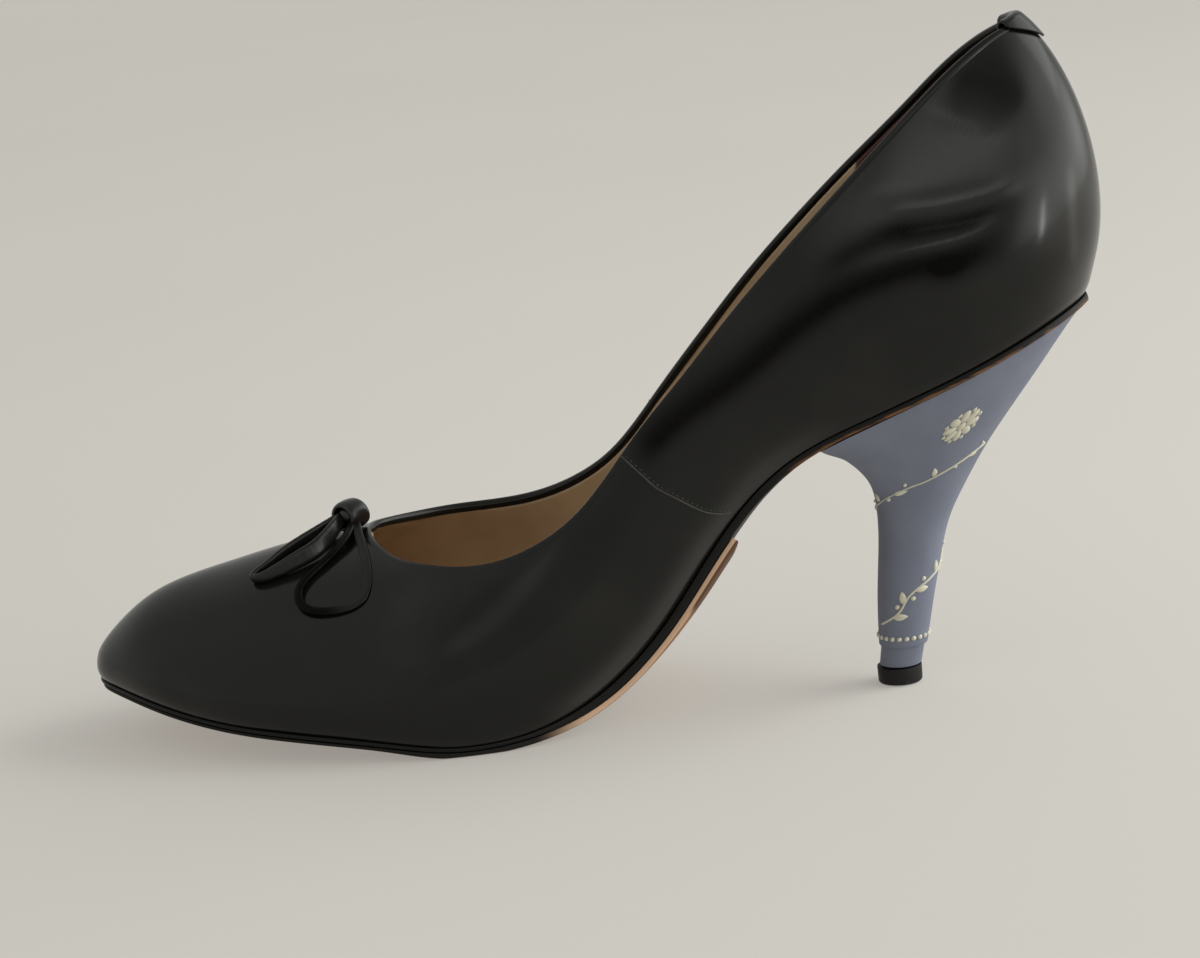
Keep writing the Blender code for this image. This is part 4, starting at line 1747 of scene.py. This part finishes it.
@dataclass
class Relief:
    """The low relief on the heel: a ring of beads, a winding vine and a rosette on each flank."""

    heel: Heel
    lift: float = 0.42
    sink: float = 0.12
    step: float = 0.004
    bead_row: float = 0.22
    beads: int = 22
    bead: Lobe = Lobe((1.05, 1.05), 0.0, -0.52, 1.1)
    vine_start: tuple[float, float] = (0.60, 0.55)
    vine_end: tuple[float, float] = (1.92, 5.25)
    vine_width: float = 0.52
    vine_sway: float = 0.035
    vine_bends: float = 9.0
    vine_cuts: int = 120
    stem_lift: float = 0.75
    stem_taper: float = 0.45
    stem_shade: float = 0.7
    leaves: int = 15
    leaf: Lobe = Lobe((3.1, 1.6), 0.8, 0.2)
    leaf_lean: float = 0.95
    leaf_spread: float = 0.85
    leaf_loss: float = 0.25
    berry: Lobe = Lobe((1.1, 1.1), 0.0, 0.7, 1.15)
    berry_ahead: float = 0.03
    rosette_row: float = 6.35
    rosette_turns: tuple[float, float] = (0.20, 0.80)
    petals: int = 8
    petal: Lobe = Lobe((3.2, 1.9), -0.35, 0.9)
    dot: Lobe = Lobe((1.0, 1.0), 0.0, 3.3, 0.8)
    heart: Lobe = Lobe((2.0, 2.0), 0.0, -1.0, 1.3)

    def spot(self, turn: float, row: float, beside: float, above: float, height: float) -> Vector:
        """A point near a place on the heel.

        Args:
            turn: the place's turn round the heel.
            row: its row.
            beside: millimetres round the heel from the place.
            above: millimetres up the heel from the place.
            height: millimetres out of the surface.

        Returns:
            The point.
        """
        step = self.step
        round_it = (self.heel.surface(turn + step, row) - self.heel.surface(turn - step, row)) / (2 * step)
        up_it = (self.heel.surface(turn, row + step) - self.heel.surface(turn, row - step)) / (2 * step)
        turn, row = turn + beside / round_it.length, row + above / up_it.length
        here = self.heel.surface(turn, row)
        out = ((self.heel.surface(turn + step, row) - here).cross(
            self.heel.surface(turn, row + step) - here)).normalized()
        return here + out * height

    def add(self, mesh: bmesh.types.BMesh, lobe: Lobe, turn: float, row: float, angle: float = 0.0,
            grow: float = 1.0) -> None:
        """Add one lobe.

        Args:
            mesh: the relief's mesh.
            lobe: what it is like.
            turn: its place round the heel.
            row: its place up the heel.
            angle: its direction, 0 round the heel and a quarter turn up it.
            grow: its size as a part of the full one.
        """
        layer = mesh.verts.layers.float["lift"]
        length, width = (0.5 * grow * size for size in lobe.size)
        c, s = math.cos(angle), math.sin(angle)
        for vert in bmesh.ops.create_icosphere(mesh, subdivisions=2, radius=1.0)["verts"]:
            along, across, high = vert.co
            narrow = 1.0 - lobe.taper * (0.55 * along * along + 0.35 * along)
            a, b = lobe.offset + length * (along + 1.0), width * across * narrow
            rib = 1.0 - 0.35 * lobe.taper * math.exp(-(across / 0.22) ** 2)
            height = self.lift * lobe.lift * high * rib if high > 0.0 else self.sink * high
            vert.co = self.spot(turn, row, a * c - b * s, a * s + b * c, height)
            vert[layer] = max(high, 0.0)

    def vine(self, way: float) -> tuple[float, float]:
        """The course of the vine.

        Args:
            way: 0 at its foot to 1 at its tip.

        Returns:
            Its turn round the heel and its row.
        """
        start, end = self.vine_start, self.vine_end
        sway = self.vine_sway * math.sin(way * self.vine_bends * math.pi)
        return (start[0] + (end[0] - start[0]) * way + sway * (1.0 - way),
                start[1] + (end[1] - start[1]) * way)

    def stem(self, mesh: bmesh.types.BMesh) -> None:
        """Add the stem of the vine.

        Args:
            mesh: the relief's mesh.
        """
        def place(turn: float, way: float) -> Vector:
            """A point on the stem.

            Args:
                turn: the turn round it.
                way: the way along it.

            Returns:
                The point.
            """
            at, row = self.vine(way)
            ahead = Vector(self.vine(min(way + 0.01, 1.0))) - Vector(self.vine(max(way - 0.01, 0.0)))
            here = self.spot(at, row, 0.0, 0.0, 0.0)
            tip = self.spot(at + ahead.x * 0.05, row + ahead.y * 0.05, 0.0, 0.0, 0.0)
            out = (self.spot(at, row, 0.0, 0.0, 1.0) - here).normalized()
            beside = out.cross(tip - here).normalized()
            left, high = rounded(turn)
            slim = self.vine_width * (1.0 - self.stem_taper * way)
            rise = self.lift * self.stem_lift if high > 0.0 else self.sink
            return here + beside * (0.5 * slim * left) + out * (rise * high)

        part = tube(8, self.vine_cuts, place)
        layer = part.verts.layers.float.new("lift")
        for vert in part.verts:
            vert[layer] = self.stem_shade
        absorb(mesh, part)

    def foliage(self, mesh: bmesh.types.BMesh) -> None:
        """Add the leaves of the vine, each with a berry on the other side.

        Args:
            mesh: the relief's mesh.
        """
        for number in range(self.leaves):
            way = (number + 0.6) / (self.leaves + 0.2)
            side = 1.0 if number % 2 else -1.0
            grow = 1.0 - self.leaf_loss * way
            self.add(mesh, self.leaf, *self.vine(way), self.leaf_lean + side * self.leaf_spread, grow)
            beyond = min(way + self.berry_ahead, 1.0)
            self.add(mesh, self.berry, *self.vine(beyond), self.leaf_lean - side, grow)

    def rosette(self, mesh: bmesh.types.BMesh, turn: float) -> None:
        """Add a rosette.

        Args:
            mesh: the relief's mesh.
            turn: its place round the heel.
        """
        turned = math.tau / self.petals
        for number in range(self.petals):
            self.add(mesh, self.petal, turn, self.rosette_row, turned * number)
            self.add(mesh, self.dot, turn, self.rosette_row, turned * (number + 0.5))
        self.add(mesh, self.heart, turn, self.rosette_row)

    def build(self) -> bmesh.types.BMesh:
        """Put the whole relief together.

        Returns:
            Its mesh.
        """
        mesh = bmesh.new()
        mesh.verts.layers.float.new("lift")
        for number in range(self.beads):
            self.add(mesh, self.bead, number / self.beads, self.bead_row)
        self.stem(mesh)
        self.foliage(mesh)
        for turn in self.rosette_turns:
            self.rosette(mesh, turn)
        face_outwards(mesh)
        return mesh


@dataclass
class BackTab:
    """The small tab folded over the top line at the back."""

    last: Last
    workshop: Workshop
    rows: float = 1.2
    depth: float = 0.115
    depth_end: float = 0.012
    fold: float = 0.2
    thickness: float = 0.55
    gap: float = 0.3
    wall: float = 1.7
    rounding: float = 0.15
    cuts_along: int = 40
    cuts_over: int = 44

    def sheet(self, lift: float) -> Place:
        """A face of the tab.

        Args:
            lift: how far it lies over the tab's inner face.

        Returns:
            The function that gives its points.
        """
        half = 0.5 * self.wall + self.gap + lift

        def place(along: float, across: float) -> Vector:
            """A point on the face.

            Args:
                along: 0 to 1 round the back of the shoe.
                across: 0 to 1 over the top line, from the outside to the inside.

            Returns:
                The point.
            """
            from_middle = abs(2.0 * along - 1.0)
            side = Side.INNER if along < 0.5 else Side.OUTER
            row = self.last.heel - from_middle * self.rows
            depth = self.depth + (self.depth_end - self.depth) * from_middle
            over = 2.0 * across - 1.0
            down = max(abs(over) - self.fold, 0.0) / (1.0 - self.fold)
            up = 1.0 - depth * down
            point = self.last.wall(row, side, up)
            out = self.last.wall_normal(row, side, up)
            middle = point - out * (0.5 * self.wall)
            rise = (self.last.wall(row, side, 1.0) - self.last.wall(row, side, 0.98)).normalized()
            if down > 0.0:
                return middle - out * math.copysign(half, over)
            angle = 0.5 * math.pi * over / self.fold
            return middle - out * (half * math.sin(angle)) + rise * (half * math.cos(angle))
        return place

    def build(self) -> None:
        """Build the tab."""
        outer_face, inner_face = self.sheet(self.thickness), self.sheet(0.0)
        mesh = slab(self.cuts_along, self.cuts_over, outer_face, inner_face, self.rounding)
        self.workshop.piece("back_tab_fold", mesh, Slot.CALF, "back_tab")


LOOPS = {
    "side": tuple(Bend(*bend) for bend in (
        (59.6, -3.6, 1.2, 0, 1.3), (58.4, -8.6, 0.5, 0, 1.3), (55.3, -13.4, 0.1, 0, 1.3),
        (51.6, -17.4, 0.0, 0, 1.3), (50.4, -21.2, 0.0, 0, 1.3), (52.6, -24.4, 0.0, 0, 1.2),
        (56.8, -25.8, 0.0, 0, 1.0), (61.2, -26.0, 0.0, 0, 0.8), (64.6, -24.6, 0.0, 0, 0.5),
        (64.9, -19.6, 0.0, 0, 0.4), (63.4, -13.2, 0.1, 0, 0.6), (61.7, -7.6, 0.5, 0, 0.9),
        (60.6, -3.4, 1.2, 0, 1.2))),
    "front": tuple(Bend(*bend) for bend in (
        (57.9, -0.6, 1.7, -10, 2.9), (57.0, -5.2, 1.3, -18, 3.2), (54.6, -10.2, 0.5, -24, 3.7),
        (51.4, -12.6, 0.2, -26, 3.8), (47.9, -13.9, 0.1, -24, 3.5), (44.4, -14.6, 0.0, -20, 2.9),
        (41.4, -14.7, 0.0, -12, 2.3), (39.7, -13.8, 0.0, 0, 2.1), (40.3, -12.6, 0.0, 0, 2.2),
        (42.8, -11.2, 0.0, 0, 2.6), (46.0, -8.6, 0.2, 0, 2.9), (50.5, -5.4, 0.5, 0, 3.0),
        (54.5, -2.4, 1.0, 0, 2.9), (57.4, 0.2, 1.7, 0, 2.7))),
}


@dataclass
class Bow:
    """The bow on the throat: its knot, a loop down the inner side and a narrow one towards the toe."""

    workshop: Workshop
    outside: BVHTree
    finish: BlackCalf = BlackCalf(name="strap_calf", polish_roughness=0.32)
    thickness: dict[str, float] = field(default_factory=lambda: {"side": 1.9, "front": 1.4})
    # Painted shading of each piece: painted shade darkens the side loop, painted highlights polish the front
    # loop and the knot.
    painted_shading_amount: dict[str, float] = field(default_factory=lambda: {"side": 1.0, "front": -0.3, "knot": -0.8})
    # The side loop's painted shade fades out along its strand towards the heel.
    side_fade: tuple[float, float] = (56.0, 63.0)
    side_kept: float = 0.95
    squareness: float = 0.8
    seat: float = 0.1
    above: float = 100.0
    knot_centre: tuple[float, float, float] = (58.6, -0.4, 44.1)
    knot_way: tuple[float, float] = (-0.62, -0.78)
    knot_slope: float = -8.0
    knot_reach: tuple[float, float] = (3.0, 2.5)
    knot_width: float = 5.2
    knot_taper: float = 0.12
    knot_thickness: float = 1.25
    knot_square: tuple[float, float] = (0.5, 0.6)
    knot_crown: float = 0.22
    core: tuple[float, float, float] = (2.9, 2.6, 2.1)

    def strap(self, bends: Sequence[Bend], thickness: float) -> bmesh.types.BMesh:
        """A strap along a route of bends, dropped on to the upper.

        Args:
            bends: the route.
            thickness: the thickness of the strap.

        Returns:
            Its mesh.
        """
        route = {name: column(bends, name, False, False) for name in Bend._fields}
        length = len(bends) - 1

        def place(turn: float, along: float) -> Vector:
            """A point on the strap.

            Args:
                turn: the turn round it.
                along: the way along it.

            Returns:
                The point.
            """
            row = along * length
            spot = Vector((route["x"](row), route["y"](row), self.above))
            ahead = Vector((route["x"].slope(row), route["y"].slope(row), 0.0)).normalized()
            hit, normal, _, _ = self.outside.ray_cast(spot, Vector((0.0, 0.0, -1.0)))
            across = normal.cross(ahead).normalized()
            lean = math.radians(route["lean"](row))
            tall = normal * math.cos(lean) + across * math.sin(lean)
            thick = across * math.cos(lean) - normal * math.sin(lean)
            left, high = rounded(turn, self.squareness, self.squareness)
            return (hit + normal * (self.seat + route["lift"](row))
                    + tall * ((0.5 + 0.5 * high) * route["height"](row)) + thick * (0.5 * left * thickness))

        return tube(20, 10 * length, place)

    def wear_and_painted_shading(self, mesh: bmesh.types.BMesh, name: str) -> bmesh.types.BMesh:
        """Mark a piece's painted shading: the side loop gets painted shade, strongest along its front
        strand, and the front loop and the knot get painted highlights.

        Args:
            mesh: the piece's mesh.
            name: which piece of the bow it is.

        Returns:
            The same mesh.
        """
        painted_shading = mesh.verts.layers.float.new("painted_shading")
        for vert in mesh.verts:
            kept = self.side_kept * ease(vert.co.x, *self.side_fade) if name == "side" else 0.0
            vert[painted_shading] = self.painted_shading_amount[name] * (1.0 - kept)
        return mesh

    def knot_axes(self) -> tuple[Vector, Vector, Vector]:
        """The directions of the knot.

        Returns:
            The way through it, the way across it and the way up it.
        """
        way = Vector((*self.knot_way, 0.0)).normalized()
        up = Matrix.Rotation(math.radians(self.knot_slope), 3, "Y") @ Vector((0.0, 0.0, 1.0))
        across = way.cross(up).normalized()
        return up.cross(across).normalized(), across, up

    def knot(self) -> bmesh.types.BMesh:
        """The knot: a band wound round the straps, with their folds inside it.

        Returns:
            Its mesh.
        """
        way, across, up = self.knot_axes()
        centre = Vector(self.knot_centre)

        def place(turn: float, round_it: float) -> Vector:
            """A point on the band.

            Args:
                turn: the turn round the band's own section.
                round_it: the turn round the knot.

            Returns:
                The point.
            """
            beside, above = rounded(round_it)
            ray = across * (self.knot_reach[0] * beside) + up * (self.knot_reach[1] * above)
            along, thick = rounded(turn, *self.knot_square)
            wide = 0.5 * self.knot_width * (1.0 - self.knot_taper * above)
            crown = self.knot_crown * (1.0 - along ** 2)
            return (centre + ray + way * (wide * along)
                    + ray.normalized() * (0.5 * self.knot_thickness * thick + crown))

        mesh = tube(24, 48, place, ring=True)
        core = bmesh.new()
        bmesh.ops.create_icosphere(core, subdivisions=4, radius=1.0)
        for vert in core.verts:
            size = [part * amount for part, amount in zip(vert.co, self.core)]
            vert.co = centre + way * size[0] + across * size[1] + up * size[2]
        absorb(mesh, core)
        return mesh

    def build(self) -> None:
        """Build the pieces."""
        calf = self.finish.material()
        self.workshop.piece("bow_knot_band", self.wear_and_painted_shading(self.knot(), "knot"), Slot.CALF, "bow_knot", calf)
        for name, bends in LOOPS.items():
            mesh = self.wear_and_painted_shading(self.strap(bends, self.thickness[name]), name)
            self.workshop.piece(f"bow_strap_{name}", mesh, Slot.CALF, f"bow_loop_{name}", calf)


class Lamp(NamedTuple):
    """An area light: its place and target in metres, its two sizes, its power and if it mirrors."""

    name: str
    place: tuple[float, float, float]
    target: tuple[float, float, float]
    size: tuple[float, float]
    power: float
    mirrored: bool = True


class Axis(IntEnum):
    """The axes of the sky."""

    ALONG = 0
    DEPTH = 1
    HEIGHT = 2


class Rise(NamedTuple):
    """A soft step of a patch along one axis, from its least amount to 1."""

    axis: Axis
    start: float
    end: float
    least: float = 0.0


class Patch(NamedTuple):
    """A soft patch of the sky: its colour and the steps that bound it."""

    colour: Colour
    rises: tuple[Rise, ...]


@dataclass
class Studio:
    """The floor, the soft light and the camera."""

    workshop: Workshop
    eye: tuple[float, float, float] = (207.46, -675.42, 205.36)
    target: tuple[float, float, float] = (112.54, 0.0, 47.894)
    roll: float = 5.811
    lens: float = 100.02
    sensor: float = 36.0
    floor_half: float = 5.0
    floor_drop: float = 0.0002
    lamps: tuple[Lamp, ...] = (
        Lamp("window", (2.3, 1.7, 1.9), (0.0, 0.0, 0.03), (2.2, 1.6), 12.0),
        Lamp("sheet", (1.25, 0.2, 0.6), (1.15, 0.1, 0.0), (1.0, 1.2), 16.0, False),
        Lamp("strip_front", (1.26, -0.56, 0.10), (0.08, 0.0, 0.1), (0.09, 0.34), 0.9),
    )
    floor_right: float = 2.0
    walls: Colour = (0.50, 0.50, 0.486, 1.0)
    patches: tuple[Patch, ...] = (
        Patch((0.64, 0.64, 0.622, 1.0), (Rise(Axis.ALONG, -0.2, -0.45), Rise(Axis.DEPTH, 0.3, -0.1))),
        Patch((0.40, 0.40, 0.388, 1.0), (Rise(Axis.HEIGHT, 0.60, 0.72), Rise(Axis.ALONG, -0.4, 0.0))),
        Patch((1.05, 1.05, 1.02, 1.0), (
            Rise(Axis.ALONG, -0.30, -0.20), Rise(Axis.DEPTH, 0.15, -0.25),
            Rise(Axis.HEIGHT, 0.36, 0.46), Rise(Axis.HEIGHT, 0.68, 0.57))),
        Patch((3.0, 3.0, 2.90, 1.0), (
            Rise(Axis.ALONG, 0.55, 0.88), Rise(Axis.HEIGHT, -0.06, 0.10, 0.6),
            Rise(Axis.HEIGHT, 0.35, 0.08, 0.7))),
    )

    def floor(self) -> None:
        """The plain pale floor."""
        mesh = bmesh.new()
        bmesh.ops.create_grid(mesh, x_segments=1, y_segments=1, size=self.floor_half,
                              matrix=Matrix.Translation((self.floor_right - self.floor_half, 0.0,
                                                         -self.floor_drop)))
        data = bpy.data.meshes.new("floor")
        mesh.to_mesh(data)
        mesh.free()
        data.materials.append(PaleSheet().material())
        floor = bpy.data.objects.new("floor", data)
        bpy.context.scene.collection.objects.link(floor)
        floor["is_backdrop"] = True

    def camera(self) -> None:
        """A camera at the photo's viewing angle, with its roll."""
        place = self.workshop.place()
        eye, target = place @ Vector(self.eye), place @ Vector(self.target)
        back = (eye - target).normalized()
        right = Vector((0.0, 0.0, 1.0)).cross(back).normalized()
        up = back.cross(right)
        turn = math.radians(self.roll)
        rolled_right = right * math.cos(turn) - up * math.sin(turn)
        rolled_up = right * math.sin(turn) + up * math.cos(turn)
        data = bpy.data.cameras.new("camera")
        data.sensor_fit = "HORIZONTAL"
        data.sensor_width = self.sensor
        data.lens = self.lens
        camera = bpy.data.objects.new("camera", data)
        camera.matrix_world = (Matrix.Translation(eye)
                               @ Matrix((rolled_right, rolled_up, back)).transposed().to_4x4())
        bpy.context.scene.collection.objects.link(camera)
        bpy.context.scene.camera = camera

    def light(self, lamp: Lamp) -> None:
        """Hang one area light.

        Args:
            lamp: what it is like and where it hangs.
        """
        data = bpy.data.lights.new(lamp.name, "AREA")
        data.shape = "RECTANGLE"
        data.size, data.size_y = lamp.size
        data.energy = lamp.power
        light = bpy.data.objects.new(lamp.name, data)
        light.location = lamp.place
        aim = Vector(lamp.target) - Vector(lamp.place)
        light.rotation_euler = aim.to_track_quat("-Z", "Y").to_euler()
        light.visible_camera = False
        light.visible_glossy = lamp.mirrored
        bpy.context.scene.collection.objects.link(light)

    def sky(self) -> None:
        """Pale walls with a brighter panel in front and a bright wall to the right."""
        world = bpy.data.worlds.new("studio")
        bpy.context.scene.world = world
        recipe = Recipe(world)
        split = recipe.node("ShaderNodeSeparateXYZ",
                            sockets={0: recipe.node("ShaderNodeTexCoord").outputs["Generated"]})
        axes = [Signal(recipe, socket) for socket in split.outputs]
        colour: Any = self.walls
        for patch in self.patches:
            amount: Any = 1.0
            for rise in patch.rises:
                step = axes[rise.axis].between(rise.start, rise.end)
                amount = (step * (1.0 - rise.least) + rise.least) * amount
            colour = recipe.blend(amount, colour, patch.colour)
        recipe.feed(recipe.tree.nodes["Background"].inputs["Color"], colour)

    def build(self) -> None:
        """Set the stage."""
        bpy.context.scene.view_settings.view_transform = "Standard"
        self.floor()
        self.camera()
        self.sky()
        for lamp in self.lamps:
            self.light(lamp)


def plain(box: Iterable[Vector]) -> list[list[float]]:
    """A box as plain lists of numbers."""
    return [[round(float(value), 6) for value in corner] for corner in box]


def main() -> None:
    """Build the shoe and its stage."""
    logging.basicConfig(level=logging.INFO, format="%(message)s")
    workshop = Workshop.open(Heel.top_piece_centre)
    Studio(workshop).build()
    last = Last()
    outside = Upper(last, workshop).build()
    underside = Underfoot(last, workshop).build()
    Heel(workshop, underside).build()
    BackTab(last, workshop).build()
    Bow(workshop, outside).build()
    {"cad": plain(CAD_BOX), "visual": plain(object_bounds())}
    LOG.info("%d pieces", len(workshop.made))


if __name__ == "__main__":
    main()
